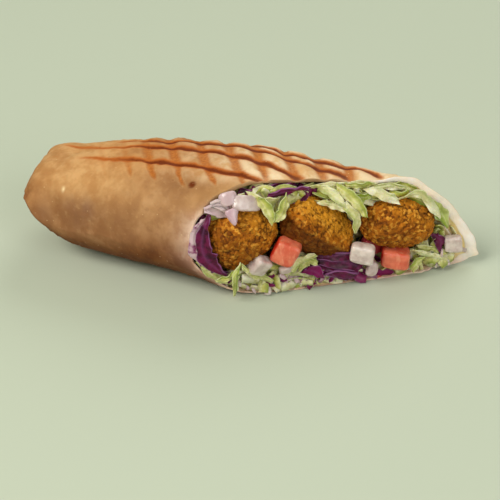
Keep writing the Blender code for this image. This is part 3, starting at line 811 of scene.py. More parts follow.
def pattyFinish():
    f = Finish("friedCrust")
    patch, speck, fine = f.noise(7.5, 3, 0.6), f.noise(1.5, 4, 0.65), f.noise(0.5, 2, 0.6)
    colour = f.paint(
        patch.blend(0.35, 0.62, (148, 75, 8), (190, 110, 20)),
        (f.mark("grain") * 0.6, (206, 124, 28)),
        # painted highlight on the face turned towards the light
        (f.mark("lit") * 0.75, (236, 162, 44)),
        (f.mark("grain2").between(0.62, 0.95) * 0.8, (236, 166, 62)),
        (f.mark("grain2").between(0.34, 0.05) * 0.7, (96, 46, 8)),
        (speck.between(0.52, 0.68) * 0.6, (84, 40, 6)),
        (f.noise(2.2, 2).between(0.6, 0.72) * 0.4, (98, 84, 20)),
        # painted shade on the side turned from the light
        (f.mark("side") * 0.8, (84, 36, 6)),
        # painted shade in the clefts between crumbs
        (f.mark("deep").between(0.3, 0.78) * 0.82, (60, 27, 4)),
    )
    bump = f.bump(speck * 0.6 + fine * 0.4, 0.6)
    return f.set(Base_Color=colour, Roughness=0.66 - 0.12 * patch, Normal=bump, Specular_IOR_Level=0.12)


crust = pattyFinish()
for name, data in patties["pieces"].items():
    points, faces, marks = pattyShape(data)
    piece = addMesh(name + "_crumbed", atSpot(points, data["spot"], data["turns"]), faces.tolist(), marks)
    settle(piece, crust, "falafel", name)
print("patties:", len(patties["pieces"]))

dicePieces = rowsOf("spot turns size seed ripe", {
    "tomato_1": ((-30.6, 7.8, 7.6), (12, -22, -24), (11.6, 12.0, 9.0), 21, 0.35),
    "tomato_2": ((23.4, -4.5, 4.4), (8, -16, -6), (13.6, 9.2, 9.4), 22, 0.45),
    "tomato_3": ((13.8, -0.8, -3.4), (4, 10, 12), (8.0, 9.0, 6.6), 23, 1.0),
    "onion_1": ((-42.5, 1.5, 5.8), (16, 24, -34), (9.4, 9.0, 6.2), 24, 0.1),
    "onion_2": ((5.8, 1.9, 8.0), (6, -14, -13), (11.4, 8.8, 7.0), 25, 0.0),
    "onion_3": ((52.6, -2.4, 2.6), (0, -10, 4), (8.6, 8.0, 5.2), 26, 0.0),
})
petalPieces = rowsOf("spot turns size seed ripe bend point", {
    "onion_4": ((-56.0, 36.4, 4.0), (-30, -8, 12), (8.6, 6.4, 2.4), 11, 0.6, 1.0, 0.15),
    "onion_5": ((-48.2, 33.8, 5.4), (-34, 12, -12), (11.2, 7.2, 2.4), 12, 0.2, 1.4, -0.35),
    "onion_6": ((-55.2, 29.6, 8.6), (-24, 0, 12), (8.4, 7.8, 2.2), 13, 0.9, 0.7, 0.8),
    "onion_7": ((11.4, -8.8, 5.4), (10, 0, 76), (7.6, 5.6, 3.0), 14, 0.2, 0.9),
    "onion_8": ((-30.0, -2.8, 5.2), (24, 0, 8), (6.4, 4.2, 3.0), 15, 0.15, 0.5),
})
smallPieces = {**dicePieces, **petalPieces}


def diceShape(size, seed, power, bend, point):
    # a soft cube, sheared and dented by noise, bent about its middle, and narrowed towards its lower end
    q, faces = softCube(26, power)
    p = q * 0.5 * np.array(size)
    rng = np.random.default_rng(seed)
    p[:, 0] += p[:, 1] * rng.uniform(-0.12, 0.12) + p[:, 2] * rng.uniform(-0.1, 0.1)
    p[:, 1] += p[:, 0] * rng.uniform(-0.08, 0.08)
    p[:, 2] += bend * (0.5 - (2 * p[:, 0] / size[0]) ** 2)
    p[:, 0] *= 1 - point * np.clip(0.5 - p[:, 1] / size[1], 0, 1)
    dent = 0.42 * layers(p, 4.5, 3, seed)
    p = p + q * dent[:, None]
    sheet = np.abs(((p[:, 2] + 0.2 * p[:, 0] + 0.3 * drift(p, 5.0, seed + 2)) / 2.7) % 1.0 - 0.5) * 2
    edge = np.sort(np.abs(q), axis=-1)[:, 1]
    peel, rim = smoothStep((-q[:, 0] - 0.80) / 0.14), smoothStep((edge - 0.6) / 0.4)
    return p, faces, {"peel": peel, "sheet": bell(sheet, 0.16), "rim": rim}


def tomatoFinish():
    f = Finish("tomatoFlesh")
    cloud, streak = f.noise(5.0, 3), f.noise(2.2, 3, 0.6, stretch=(1, 1, 3.5))
    colour = f.paint(
        cloud.blend(0.35, 0.65, (216, 92, 64), (232, 122, 90)),
        (streak.between(0.5, 0.68) * 0.55, (240, 158, 124)),
        (f.mark("rim") * 0.3, (222, 86, 60)),
        (f.mark("peel"), cloud.blend(0.3, 0.7, (188, 34, 20), (210, 54, 32))),
        (f.mark("ripe").between(0.5, 1.0) * 0.85, cloud.blend(0.3, 0.7, (140, 20, 40), (196, 60, 84))),
    )
    return f.set(
        Base_Color=colour,
        Roughness=0.24 + 0.2 * streak,
        Normal=f.bump(streak * 0.6 + f.noise(0.8, 2) * 0.4, 0.3),
        soft=(0.2, (1.0, 0.3, 0.15), 0.0016),
        coat=(0.35, 0.12),
    )


def onionFinish():
    f = Finish("onionFlesh")
    cloud, fibre = f.noise(6.0, 3), f.noise(1.6, 3, 0.6, stretch=(3.0, 1, 1))
    colour = f.paint(
        cloud.blend(0.35, 0.65, (232, 216, 208), (192, 168, 162)),
        (f.mark("sheet") * 0.2, (178, 156, 152)),
        (fibre.between(0.5, 0.7) * 0.4, (238, 226, 220)),
        (f.mark("rim") * 0.3, (236, 220, 212)),
        (f.mark("ripe") * 0.8, cloud.blend(0.35, 0.6, (186, 134, 160), (218, 184, 196))),
    )
    return f.set(
        Base_Color=colour,
        Roughness=0.26 + 0.15 * cloud,
        Normal=f.bump(fibre * 0.7 + f.noise(0.7, 2) * 0.3, 0.22),
        soft=(0.5, (1.0, 0.82, 0.78), 0.0025),
        coat=(0.5, 0.12),
    )


tomatoFlesh, onionFlesh = tomatoFinish(), onionFinish()
for name, data in smallPieces.items():
    finish, slotName = (tomatoFlesh, "tomato") if name.startswith("tomato") else (onionFlesh, "onion")
    bend, point = data.get("bend", 0.0), data.get("point", 0.0)
    points, faces, marks = diceShape(data["size"], data["seed"], 3.2 if bend else 5.0, bend, point)
    marks["ripe"] = data["ripe"]
    piece = addMesh(name + "_cut", atSpot(points, data["spot"], data["turns"]), faces.tolist(), marks)
    settle(piece, finish, slotName, name)
print("tomato and onion:", len(smallPieces))


def runThrough(points, count):
    # an even-paced smooth curve through given points, each bend shaped by the points before and after it
    p = np.asarray(points, float)
    p = np.vstack([2 * p[0] - p[1], p, 2 * p[-1] - p[-2]])
    s = np.linspace(0, len(p) - 3 - 1e-6, count)
    k = s.astype(int)
    f = (s - k)[:, None]
    a, b, c, d = p[k], p[k + 1], p[k + 2], p[k + 3]
    return 0.5 * (2 * b + (c - a) * f + (2 * a - 5 * b + 4 * c - d) * f**2 + (3 * b - a - 3 * c + d) * f**3)


def sheetFrame(path, angle):
    # three directions along a path: ahead, across a sheet that leans by angle, and out of the sheet
    ahead = unit(np.gradient(path, axis=-2))
    flat = unit(np.cross(np.array([0.0, 0.0, 1.0]), ahead))
    across = flat * np.cos(angle) + np.cross(ahead, flat) * np.sin(angle)
    return ahead, across, np.cross(ahead, across)


def leafNet(path, width, lean, seed, ends, cup, crease, ruffle, waves, jag, slant=0.0):
    # a sheet carried along a path in the cut frame: across it, s runs -1 to 1; it cups as s squared, is creased
    # along a line off its middle, narrows at both ends, which are cut at a slant, and its edges ruffle as a sine
    count = len(path)
    t = np.linspace(0, 1, count)[:, None]
    s = np.linspace(-1, 1, 13)[None, :]
    ahead, across, out = sheetFrame(path, np.radians(lean[0] + (lean[1] - lean[0]) * t))
    given = np.interp(t, np.linspace(0, 1, np.size(width)), np.atleast_1d(width))
    first, last = (share + (1 - share) * smoothStep(v) for share, v in zip(ends, (t / 0.3, (1 - t) / 0.25)))
    wide = 0.5 * given * first * last
    frayed = drift(np.concatenate([path + 5.0 * seed, path + 5.0 * seed + 30.0], axis=0), 2.6, seed)
    wide = wide * (1 + jag * np.where(s > 0, frayed[:count, None], frayed[count:, None]) * np.abs(s) ** 3)
    swing = np.sin(2 * np.pi * waves * t + seed + np.where(s > 0, 0.0, 2.0)) * np.abs(s) ** 1.6
    p = path[:, None, :] + across[:, None, :] * (wide * s)[..., None]
    p = p + ahead[:, None, :] * (slant * np.cos(2.0 * seed) * wide * s * (2 * t - 1) ** 3)[..., None]
    bulge = cup * s**2 - crease * np.abs(s - 0.25 * np.sin(3 * t + seed)) + ruffle * swing
    bulge = bulge + 0.3 * drift(p, 2.2, seed + 3)
    p = p + out[:, None, :] * bulge[..., None]
    way = 1.0 if math.sin(3.7 * seed) > 0 else -1.0
    rib = bell(s - 0.15 * np.sin(5 * t + seed), 0.2)
    return p, {"edge": np.abs(s), "across": 0.5 + 0.5 * way * s, "rib": rib}


def addSheets(name, nets, thick):
    # several sheets as one mesh, each given its thickness by Solidify
    points, faces, marks, count = [], [], {}, 0
    for p, m in nets:
        points.append(onFloor(atCut(p).reshape(-1, 3), thick))
        faces.append(netFaces(*p.shape[:2]) + count)
        count += len(points[-1])
        for key, value in m.items():
            marks.setdefault(key, []).append(np.broadcast_to(value, p.shape[:2]).ravel())
    marks = {key: np.concatenate(value) for key, value in marks.items()}
    return thicken(addMesh(name, np.concatenate(points), np.concatenate(faces).tolist(), marks), thick)


# each leaf's strands as (points, width, lean at both ends, tone), tone 0 for white rib and 1 for outer green
greenLeaves = {
    "green_cabbage_1": (
        (((-43.4, 35.8, 5), (-39.9, 32.2, 8), (-37.1, 24.9, 10.5)), 4.8, (34, -10), 0.5),
        (((-46.7, 36.5, 3), (-39, 33.8, 6), (-32.4, 33.3, 4)), 3.4, (10, 30), 0.3),
    ),
    "green_cabbage_8": ((((-29.4, 34.6, 5), (-32.3, 28.7, 8), (-36.2, 24.8, 10)), 5.0, (-26, 8), 0.45),),
    "green_cabbage_2": (
        (((-14.3, 37, 3), (-9, 33.8, 6.5), (-3, 28.4, 9)), 4.2, (18, -14), 0.25),
        (((-5.6, 35.2, 3), (-0.9, 32.2, 7), (3.2, 27.4, 9.5), (5.7, 21.8, 10)), 4.8, (-20, 30), 0.45),
        (((-3.6, 28.2, 8.5), (1.4, 22.6, 10.5), (1.5, 14.2, 10.4)), 4.2, (12, -34), 0.3),
        (((-13.2, 30, 5), (-8.3, 28.1, 7), (-3, 26.4, 8.5)), 3.6, (24, -6), 0.2),
        (((2.6, 28.8, 3.5), (6.5, 29, 5), (10.8, 29.2, 4)), 4.6, (-10, 20), 1.0),
        (
            ((-22.0, 35.2, 0.6), (-8.0, 34.8, 1.0), (4.0, 33.8, 1.0), (14.0, 32.8, 0.6)),
            (3.0, 4.2, 4.2, 3.0), (14, 4), 0.25,
        ),
    ),
    "green_cabbage_3": (
        (((9.1, 33.2, 4), (15.3, 30.1, 7), (22.7, 26.2, 8)), 5.0, (-12, 20), 0.0),
        (((-1.2, 35.3, 2.5), (4.3, 34.7, 4), (11.4, 34.6, 3)), 3.8, (6, 24), 0.45),
    ),
    "green_cabbage_4": (
        (((24.5, 26.5, 5), (33.5, 27.6, 5.5), (39.3, 20.9, 5), (44.7, 13.9, 4.5)), 3.8, (30, -24), 0.15),
        (
            ((30.7, 24.8, 2), (38.7, 20.8, 2.4), (44.7, 16.2, 3), (49.7, 6.2, 2)),
            (3.4, 6.0, 7.0, 4.0), (16, -20), 0.85,
        ),
        (((16.5, 31.2, -1), (27.0, 29.8, -0.5), (35.4, 24.8, -1)), 3.8, (20, -6), 0.45),
        (((11.7, 31.3, 1), (20.9, 31.2, 1.6), (30.7, 27.9, 1.6)), 3.4, (-10, 26), 0.2),
    ),
    "green_cabbage_5": (
        (
            ((-52.4, 6.5, 11), (-55, 1, 11), (-54.9, -6, 9), (-54.6, -12.8, 6)),
            (1.8, 2.6, 2.6, 1.6), (-10, 22), 0.75,
        ),
        (((-53.4, 3.8, 10), (-57.7, -1.9, 8), (-63.4, -3.5, 6)), 2.2, (14, -20), 0.6),
        (((-51.4, 3.2, 8), (-47.3, -1.4, 7), (-41.7, -6.8, 5)), 2.4, (-20, 14), 0.35),
        (
            ((-70.0, 4.4, 0.9), (-66.6, 0.2, 1.7), (-61.6, -4.2, 2.6), (-57.0, -7.6, 2.6)),
            (2.0, 3.6, 3.8, 2.4), (12, -8), 0.3,
        ),
    ),
    "green_cabbage_6": (
        (((31, -1.1, 6), (39.9, -5.5, 4.5), (48.1, -9.3, 3)), 2.6, (20, -16), 0.2),
        (((31.4, -12.8, 5), (33.7, -8.7, 5), (38.5, -7.3, 3)), 4.0, (-14, 24), 0.65),
        (((34.9, -1.9, 3), (43.7, -4.5, 2), (49.9, -8.3, 1.5)), 3.0, (12, -12), 0.4),
    ),
    "green_cabbage_7": (
        (((-27.4, -3.9, 6), (-23.9, 1.7, 7.5), (-16.2, 3.8, 7)), 3.4, (16, -20), 0.3),
        (((-24.2, -2.6, 6), (-19.7, 0.8, 7), (-15.1, -1.7, 6)), 4.0, (-22, 12), 0.4),
    ),
}
redLeaves = {
    "red_cabbage_1": (
        (
            ((-64.4, 28.6, 2.4), (-67.4, 22.4, 3.8), (-68.4, 15.3, 4.8), (-66.8, 8.5, 5.4), (-62.4, 2.4, 6.0),
             (-56.8, -3.0, 5.6)),
            (2.2, 4.0, 7.6, 8.6, 4.4, 2.2), (40, 16), 0.0,
        ),
        (
            ((-66.6, 26.0, 0.6), (-71.2, 19.0, 1.1), (-71.8, 10.0, 1.5), (-68.6, 3.0, 1.8)),
            (2.4, 4.4, 4.6, 3.2), (20, 34), 1.5,
        ),
    ),
    "red_cabbage_2": (
        (((-38.1, 35.3, 4), (-29.5, 36.7, 5), (-18.4, 37.1, 4)), (2.0, 4.8, 2.2), (16, 34), 0.3),
        (((-45.0, 35.4, -1.5), (-37.0, 36.6, -1), (-27.5, 36.6, -1.5)), 3.6, (20, 8), 0.0),
    ),
    "red_cabbage_3": ((((-21.4, -5.6, 4), (-16.6, -5.0, 6), (-12.2, -9.0, 6)), (2.2, 5.6, 3.6), (-20, 30), 0.9),),
    "red_cabbage_4": ((((42.6, 4.0, 2), (45.5, 0.6, 3), (46.4, -5.4, 2)), (3.4, 5.4, 3.2), (28, -18), 0.15),),
}
leafLook = {
    "ends": (0.8, 0.5),
    "cup": 0.5,
    "crease": 0.55,
    "ruffle": 0.62,
    "waves": 2.3,
    "jag": 0.36,
    "slant": 1.2,
}
bundle = {
    "ribbons": 7,
    "left": (-15.0, 1.4),
    "right": (7.2, -7.0),
    "fall": (11.6, 6.2),  # how much lower the lowest ribbon starts and ends
    "drawnIn": (4.5, 3.6),  # and how much nearer to the middle
    "lean": (14, 58),
    "width": 6.6,
    "thick": 0.9,
    "look": {"ends": (0.6, 0.4), "cup": 0.9, "crease": 1.2, "ruffle": 0.6, "waves": 1.4, "jag": 0.1},
}


def greenFinish():
    f = Finish("paleCabbage")
    cloud, vein = f.noise(5.5, 3), f.noise(1.5, 3, 0.6)
    tone = f.mark("tone")
    white = cloud.blend(0.35, 0.62, (220, 210, 158), (248, 242, 212))
    pale = cloud.blend(0.35, 0.62, (176, 174, 66), (216, 212, 110))
    green = cloud.blend(0.35, 0.62, (122, 144, 20), (176, 190, 52))
    patches = f.noise(2.4, 3, 0.6).between(0.5, 0.7) * 0.45
    colour = f.paint(
        tone.blend(0.0, 0.5, white, pale),
        ((tone * 0.8 + 0.45 * cloud).between(0.62, 1.0), green),
        (f.mark("rib") * 0.4, white),
        ((f.mark("across").between(0.5, 0.0) * (0.75 - 0.5 * tone)).clamp(), white),
        ((f.mark("across").between(0.45, 1.0) * (0.35 + 0.75 * tone)).clamp(), (122, 142, 34)),
        (f.mark("edge").between(0.82, 1.0) * 0.4, (238, 236, 190)),
        (patches * tone.between(0.05, 0.3), (142, 150, 52)),
        (vein.between(0.55, 0.7) * 0.3, pale),
        # painted shade on shreds lying deep behind the cut face
        (f.mark("deep") * 0.66, cloud.blend(0.4, 0.6, (96, 80, 20), (140, 122, 42))),
    )
    return f.set(
        Base_Color=colour,
        Roughness=0.34 + 0.2 * vein,
        Normal=f.bump(vein * 0.6 + f.mark("rib") * 0.4, 0.25),
        soft=(0.3, (0.7, 1.0, 0.3), 0.0015),
        coat=(0.3, 0.2),
    )


def redFinish():
    f = Finish("redCabbage")
    cloud, vein = f.noise(4.5, 3), f.noise(1.2, 3, 0.6)
    tone = f.mark("tone")
    colour = f.paint(
        cloud.blend(0.36, 0.62, (52, 3, 26), (104, 12, 62)),
        (tone.between(0.0, 1.0) * 0.7, (146, 12, 96)),
        (vein.between(0.56, 0.72) * 0.35, (116, 34, 100)),
        (f.mark("rib") * 0.25, (140, 80, 136)),
        (f.mark("edge").between(0.88, 1.0) * 0.5, (170, 110, 166)),
        (tone.between(1.0, 1.5) * cloud.between(0.3, 0.55), (214, 186, 192)),
    )
    return f.set(
        Base_Color=colour,
        Roughness=0.28 + 0.2 * vein,
        Normal=f.bump(vein * 0.7 + f.mark("rib") * 0.3, 0.3),
        Specular_IOR_Level=0.22,
        soft=(0.05, (0.8, 0.2, 0.6), 0.0008),
        coat=(0.08, 0.2),
    )


paleCabbage, redCabbage = greenFinish(), redFinish()
leafKinds = ((greenLeaves, paleCabbage, "green_cabbage", 0.5), (redLeaves, redCabbage, "red_cabbage", 0.7))
for table, finish, slotName, thick in leafKinds:
    for k, (name, strands) in enumerate(table.items()):
        nets = []
        for j, (points, width, lean, tone) in enumerate(strands):
            net, marks = leafNet(runThrough(points, 44), width, lean, 3 * k + j + 2, **leafLook)
            nets.append((net, {**marks, "tone": tone, "deep": 0.0}))
        settle(addSheets(name + "_leaf", nets, thick), finish, slotName, name)


def bundleNets():
    # ribbons fanned down the face: each starts at the left, runs nearly level, then bends down to the right
    b, nets = bundle, []
    rng = np.random.default_rng(5)
    (leftU, leftV), (rightU, rightV) = b["left"], b["right"]
    for k in range(b["ribbons"]):
        share = ((k * 0.62) % 1.0) if k else 0.0
        fromLeft = np.array([leftU + b["drawnIn"][0] * share, leftV - b["fall"][0] * share])
        toRight = np.array([rightU - b["drawnIn"][1] * share, rightV - b["fall"][1] * share])
        bend = np.array([toRight[0] - 3.0, fromLeft[1] - 2.2 + 1.2 * rng.uniform(-1, 1)])
        out = 2.4 + 3.0 * rng.uniform(0.2, 1)
        between = 0.5 * (fromLeft + bend) + [0, 1.0]
        points = [(*fromLeft, out - 1.5), (*between, out + 0.8), (*bend, out + 0.6), (*toRight, out - 1.2)]
        lean = rng.uniform(*b["lean"]) * (1 if k % 2 else -1)
        net, marks = leafNet(runThrough(points, 44), b["width"], (lean, lean * 0.3), k + 30, **b["look"])
        nets.append((net, {**marks, "tone": rng.uniform(0.0, 0.35), "deep": 0.0}))
    return nets


wad = addSheets("red_cabbage_wad", bundleNets(), bundle["thick"])
settle(wad, redCabbage, "red_cabbage", "red_cabbage_bundle")
onionSheets = (
    (((-66.5, 30.8, 0.6), (-60.4, 31.0, 2.0), (-55.4, 27.6, 2.2)), (4.0, 8.0, 6.0), (8, 24), 0.75),
    (((-63.8, 33.6, 1.6), (-58.6, 33.4, 3.0), (-52.8, 29.6, 3.0)), (3.0, 5.4, 4.0), (-6, 18), 0.45),
)
sheetLook = {"ends": (0.5, 0.5), "cup": 1.2, "crease": 0.0, "ruffle": 0.15, "waves": 1.5, "jag": 0.15}
nets = []
for j, (points, width, lean, ripe) in enumerate(onionSheets):
    net, marks = leafNet(runThrough(points, 40), width, lean, 50 + j, **sheetLook)
    nets.append((net, {"ripe": ripe, "sheet": bell(marks["edge"] - 0.4, 0.2), "rim": marks["edge"] ** 4}))
settle(addSheets("onion_layers", nets, 1.3), onionFlesh, "onion")
print("cabbage leaves:", len(greenLeaves) + len(redLeaves), "and a wad")

# the heap is loose shreds and bits over a smaller core
heap = {
    "coreInset": 4.6,
    "coreBehind": 8.5,
    "coreRagged": 1.2,
    "coreLumps": 1.6,
    "coreHollow": 0.8,
    # zones of the cut face: u range, v range, w range, shreds, tone range
    "greens": (
        ((-62, -28), (-13, 3), (-2.5, 3.8), 40, (0.0, 0.7)),
        ((-30, 16), (-14, -2), (-3.5, 2.5), 30, (0.0, 0.6)),
        ((14, 66), (-14.5, -1), (-5.5, 2.0), 56, (0.1, 0.7)),
        ((-58, 56), (-15.6, -11.0), (-1.0, 2.4), 46, (0.0, 0.6)),
        ((-62, -36), (18, 36), (-6, 1.5), 24, (0.0, 0.5)),
        ((-40, 26), (24, 38), (-4.5, 3.0), 62, (0.0, 0.7)),
        ((18, 62), (2, 32), (-8, 0.5), 56, (0.0, 0.8)),
        ((-70, 60), (-12, 36), (-10, -5), 110, (0.1, 0.7)),
    ),
    "reds": (
        ((-74, -54), (-8, 30), (-5, 1.4), 18, (0.0, 0.5)),
        ((-34, 16), (-15, -5), (-3, 2.8), 26, (0.0, 0.7)),
        ((-34, 30), (-15.6, -12), (-0.5, 2.4), 22, (0.4, 1.3)),
        ((-46, -12), (28, 39), (-4, 0.5), 14, (0.0, 0.4)),
        ((-70, 56), (-12, 34), (-9, -4), 46, (0.0, 0.3)),
    ),
    "shredLength": (8.0, 18.0),
    "shredWidth": (2.2, 5.2),
    "shredThick": 0.45,
    "shredCurl": 0.9,
    "shredTilt": 1.2,
    "shredBulge": 0.8,
    "shredLean": 0.5,
    "shredTrough": 0.35,
    "ribShare": 0.3,  # of the shreds show a pale rib
    "shredSpare": 0.5,
    "bitSpare": 0.8,
    "onionBits": (44, 81, (1.0, 2.4), ((-62, 60), (-15.4, -6), (-2, 2.6))),  # how many, seed, sizes and zone
    "tomatoBits": (16, 83, (0.9, 2.0), ((-40, 60), (-15, -6), (-2, 2.2))),
}


def insideOutline(uv, outline):
    # even-odd count of the outline's sides that a line to the right crosses, for every point at once
    a, b = outline, np.roll(outline, -1, axis=0)
    u, v = uv[..., 0, None], uv[..., 1, None]
    spans = (a[:, 1] > v) != (b[:, 1] > v)
    rise = np.where(b[:, 1] == a[:, 1], 1e-9, b[:, 1] - a[:, 1])
    cross = a[:, 0] + (v - a[:, 1]) * (b[:, 0] - a[:, 0]) / rise
    return (spans & (u < cross)).sum(axis=-1) % 2 == 1


def unturned(points, turns):
    # turned, taken back: the last turn first
    for axis in (2, 1, 0):
        turn = [0, 0, 0]
        turn[axis] = -turns[axis]
        points = turned(points, turn)
    return points


def clearOf(p, spare):
    # true for shreds that keep out of every patty and dice, grown by spare, and out of the space in front of it
    free = np.ones(p.shape[0], bool)

    def beside(data):
        away = p - np.array(data["spot"])
        away = np.concatenate([away[..., :2], np.minimum(away[..., 2:], 0.0)], axis=-1)
        return unturned(away, data["turns"])

    for data in patties["pieces"].values():
        free &= (np.linalg.norm(beside(data) / (np.array(data["radii"]) + spare), axis=-1) > 1).all(axis=-1)
    for data in smallPieces.values():
        free &= (np.abs(beside(data) / (0.5 * np.array(data["size"]) + spare)).max(axis=-1) > 1).all(axis=-1)
    return free


def shredRuns(zones, seed, outline, steps=8):
    # each shred starts at a random place in its zone and curves off in a random direction along the face
    rng = np.random.default_rng(seed)
    runs, tones = [], []
    t = np.linspace(-0.5, 0.5, steps)[None, :]
    for uRange, vRange, wRange, count, toneRange in zones:
        many = count * 9  # more than needed, since only those in clear places are kept
        start = np.stack([rng.uniform(*r, many) for r in (uRange, vRange, wRange)], axis=-1)
        angle = rng.uniform(0, 2 * np.pi, many)[:, None]
        curl = rng.normal(0, heap["shredCurl"], many)[:, None]
        length = rng.uniform(*heap["shredLength"], many)[:, None]
        way, step = angle + curl * 2 * t, length / steps
        u = np.cumsum(np.cos(way) * step, axis=1) - 0.5 * length * np.cos(angle)
        v = np.cumsum(np.sin(way) * step, axis=1) - 0.5 * length * np.sin(angle)
        w = rng.normal(0, heap["shredTilt"], many)[:, None] * 2 * t
        w = w + rng.normal(0, heap["shredBulge"], many)[:, None] * np.cos(np.pi * t)
        p = start[:, None, :] + np.stack([u, v, w], axis=-1)
        # behind the cut the wall runs along the roll, so a point there is also tested where its line meets it
        aside = np.minimum(p[..., 2], 0) * cutCos / cutSin
        alongRoll = p[..., :2] - np.stack([aside, 0 * aside], axis=-1)
        good = (insideOutline(p[..., :2], outline) & insideOutline(alongRoll, outline)).all(axis=1)
        p = p[good & clearOf(p, heap["shredSpare"])][:count]
        runs.append(p)
        tones.append(rng.uniform(*toneRange, len(p)))
    return np.concatenate(runs), np.concatenate(tones)


def shredMesh(name, runs, tones, seed):
    # a strip three points wide along every run, all at once: rolled about its run and slightly trough-shaped
    rng = np.random.default_rng(seed)
    count, steps = runs.shape[:2]
    t = np.linspace(0, 1, steps)[None, :, None]
    lean, twist = rng.normal(0, heap["shredLean"], (2, count, 1, 1))
    angle = lean + twist * t
    _, across, out = sheetFrame(runs, angle)
    wide = 0.5 * rng.uniform(*heap["shredWidth"], (count, 1, 1)) * (0.82 + 0.18 * np.sin(np.pi * t))
    s = np.array([-1.0, 0.0, 1.0])
    p = runs[:, :, None, :] + across[:, :, None, :] * (wide * s)[..., None]
    trough = heap["shredTrough"] * (s**2)[:, None] * rng.uniform(-1, 1, (count, 1, 1, 1))
    p = p + out[:, :, None, :] * trough
    faces = copies(netFaces(steps, 3), count, steps * 3)
    ribbed = (rng.uniform(0, 1, count) < heap["ribShare"])[:, None, None]
    marks = {
        "tone": tones[:, None, None],
        "edge": np.abs(s),
        "across": 0.5 + 0.5 * s,
        "rib": ribbed * (1 - np.abs(s)),
        # painted shade: darker and browner the deeper a shred lies behind the cut face, most under the top lip
        "deep": smoothStep((-p[..., 2] - 0.5 + 0.12 * np.clip(p[..., 1] - 24, 0, None)) / 6),
    }
    return thicken(addMesh(name, onFloor(atCut(p), 0.5), faces.tolist(), marks), heap["shredThick"])


def heapCore():
    # the roll's inside, drawn in a little, ending in a lumpy face behind the cut
    theta = evenTurns(90, 0.0)
    inset = heap["coreInset"]
    ragged = heap["coreRagged"] * drift(ringAt(theta, 30.0), 10.0, 91)
    stop = rimStation(theta, inset, ragged - heap["coreBehind"])
    start = roll["tuckedAt"] + inset
    x = start + (stop - start) * np.linspace(0, 1, 61)[1:, None] ** 1.2
    side = skin(x, theta, inset) - moved
    rim = inCut(side[-1])
    shrink = np.linspace(1, 0, 26)[1:-1, None, None]
    face = rim.mean(axis=0) + (rim - rim.mean(axis=0)) * shrink
    face[..., 2] += heap["coreLumps"] * drift(face, 6.0, 92) - heap["coreHollow"] * (1 - shrink[..., 0])
    return addMesh("salad_core", *cappedTube(np.concatenate([side, atCut(face)])))


def coreShadeFinish():
    f = Finish("shadeDarkCore")
    # painted shade: the core is nearly black-brown, standing for the shade in the gaps between the loose shreds,
    # with paler strands
    cloud, strand = f.noise(6.0, 3), f.noise(1.6, 4, 0.6, stretch=(1, 2.5, 1))
    colour = f.paint(
        cloud.blend(0.4, 0.6, (44, 38, 16), (66, 24, 34)),
        (strand.between(0.5, 0.72) * 0.6, (118, 116, 58)),
    )
    return f.set(Base_Color=colour, Roughness=0.6 - 0.2 * strand, Normal=f.bump(strand, 1.2))


def bitsMesh(name, outline, count, seed, size, zone):
    # little rounded chips, all one mesh, each a soft cube turned and set down on the face
    rng = np.random.default_rng(seed)
    q, faces = softCube(3, 5)
    spots = np.stack([rng.uniform(*r, count * 12) for r in zone], axis=-1)
    good = insideOutline(spots[:, None, :2], outline)[:, 0] & clearOf(spots[:, None, :], heap["bitSpare"])
    spots = spots[good][:count]
    count = len(spots)
    scale = rng.uniform(*size, (count, 1, 3)) * np.array([1.0, 1.0, 0.5])
    spin = np.degrees(rng.uniform(0, np.pi, (count, 3)))
    p = turned(q[None] * scale, spin.T[..., None]) + spots[:, None, :]
    ripe, peel = rng.uniform(0, 0.9, (count, 1)), rng.uniform(0, 1, (count, 1))
    marks = {"ripe": ripe, "peel": peel, "sheet": 0.0, "rim": 0.3}
    return addMesh(name, onFloor(atCut(p), 0.0), copies(faces, count, len(q)).tolist(), marks)


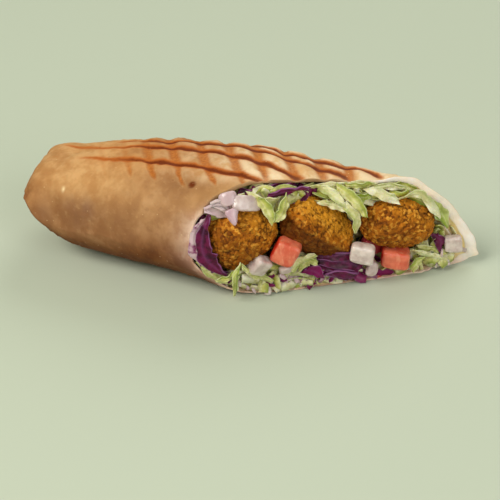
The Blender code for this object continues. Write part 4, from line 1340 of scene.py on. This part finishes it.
outline = inCut(insideLine)[:, :2]
outline = outline.mean(axis=0) + (outline - outline.mean(axis=0)) * 0.99  # just clear of the wall
settle(heapCore(), coreShadeFinish(), "green_cabbage", "salad")
runs, tones = shredRuns(heap["greens"], 61, outline)
settle(shredMesh("green_shreds", runs, tones, 62), paleCabbage, "green_cabbage")
print("green shreds:", len(runs))
runs, tones = shredRuns(heap["reds"], 71, outline)
settle(shredMesh("red_shreds", runs, tones, 72), redCabbage, "red_cabbage")
print("red shreds:", len(runs))
settle(bitsMesh("onion_bits", outline, *heap["onionBits"]), onionFlesh, "onion")
settle(bitsMesh("tomato_bits", outline, *heap["tomatoBits"]), tomatoFlesh, "tomato")

studio = {
    "floor": tint(200, 208, 188),
    "key": {"at": (-0.75, -0.95, 1.25), "size": 0.9, "watts": 19.0, "colour": (1.0, 0.96, 0.90)},
    "fill": {"at": (1.1, -0.9, 0.75), "size": 1.1, "watts": 8.5, "colour": (0.98, 0.99, 1.0)},
    "back": {"at": (0.2, 1.3, 1.1), "size": 1.2, "watts": 10.0, "colour": (1.0, 0.98, 0.95)},
    "lit": (0, 0, 0.03),
    "sky": 0.42,
    "camera": (168.70, -570.42, 377.72),
    "aim": (4.80, -7.45, 13.01),
    "lens": 105.75,
}


def faceTowards(thing, at):
    # lamps and the camera look down their own -Z, with Y up
    thing.rotation_euler = (Vector(at) - thing.location).to_track_quat("-Z", "Y").to_euler()
    bpy.context.scene.collection.objects.link(thing)


def buildStudio():
    floor = addMesh("floor", np.array([[-6, -6, 0], [6, -6, 0], [6, 6, 0], [-6, 6, 0]]) / mm, [(0, 1, 2, 3)])
    f = Finish("floorFinish")
    floor.data.materials.append(f.set(Base_Color=studio["floor"], Roughness=0.9, Specular_IOR_Level=0.1))
    for name in ("key", "fill", "back"):
        data = studio[name]
        lamp = bpy.data.lights.new(name, "AREA")
        lamp.shape, lamp.size, lamp.energy, lamp.color = "DISK", data["size"], data["watts"], data["colour"]
        made = bpy.data.objects.new(name, lamp)
        made.location = data["at"]
        faceTowards(made, studio["lit"])
    world = bpy.data.worlds.new("studioSky")
    world.use_nodes = True
    sky = world.node_tree.nodes["Background"].inputs
    sky["Color"].default_value, sky["Strength"].default_value = studio["floor"], studio["sky"]
    bpy.context.scene.world = world
    camera = bpy.data.objects.new("camera", bpy.data.cameras.new("camera"))
    camera.data.lens, camera.data.sensor_width = studio["lens"], 36.0
    camera.location = Vector(studio["camera"]) * mm
    faceTowards(camera, Vector(studio["aim"]) * mm)
    bpy.context.scene.camera = camera
    bpy.context.scene.view_settings.view_transform = "Standard"


buildStudio()
print("studio ready")
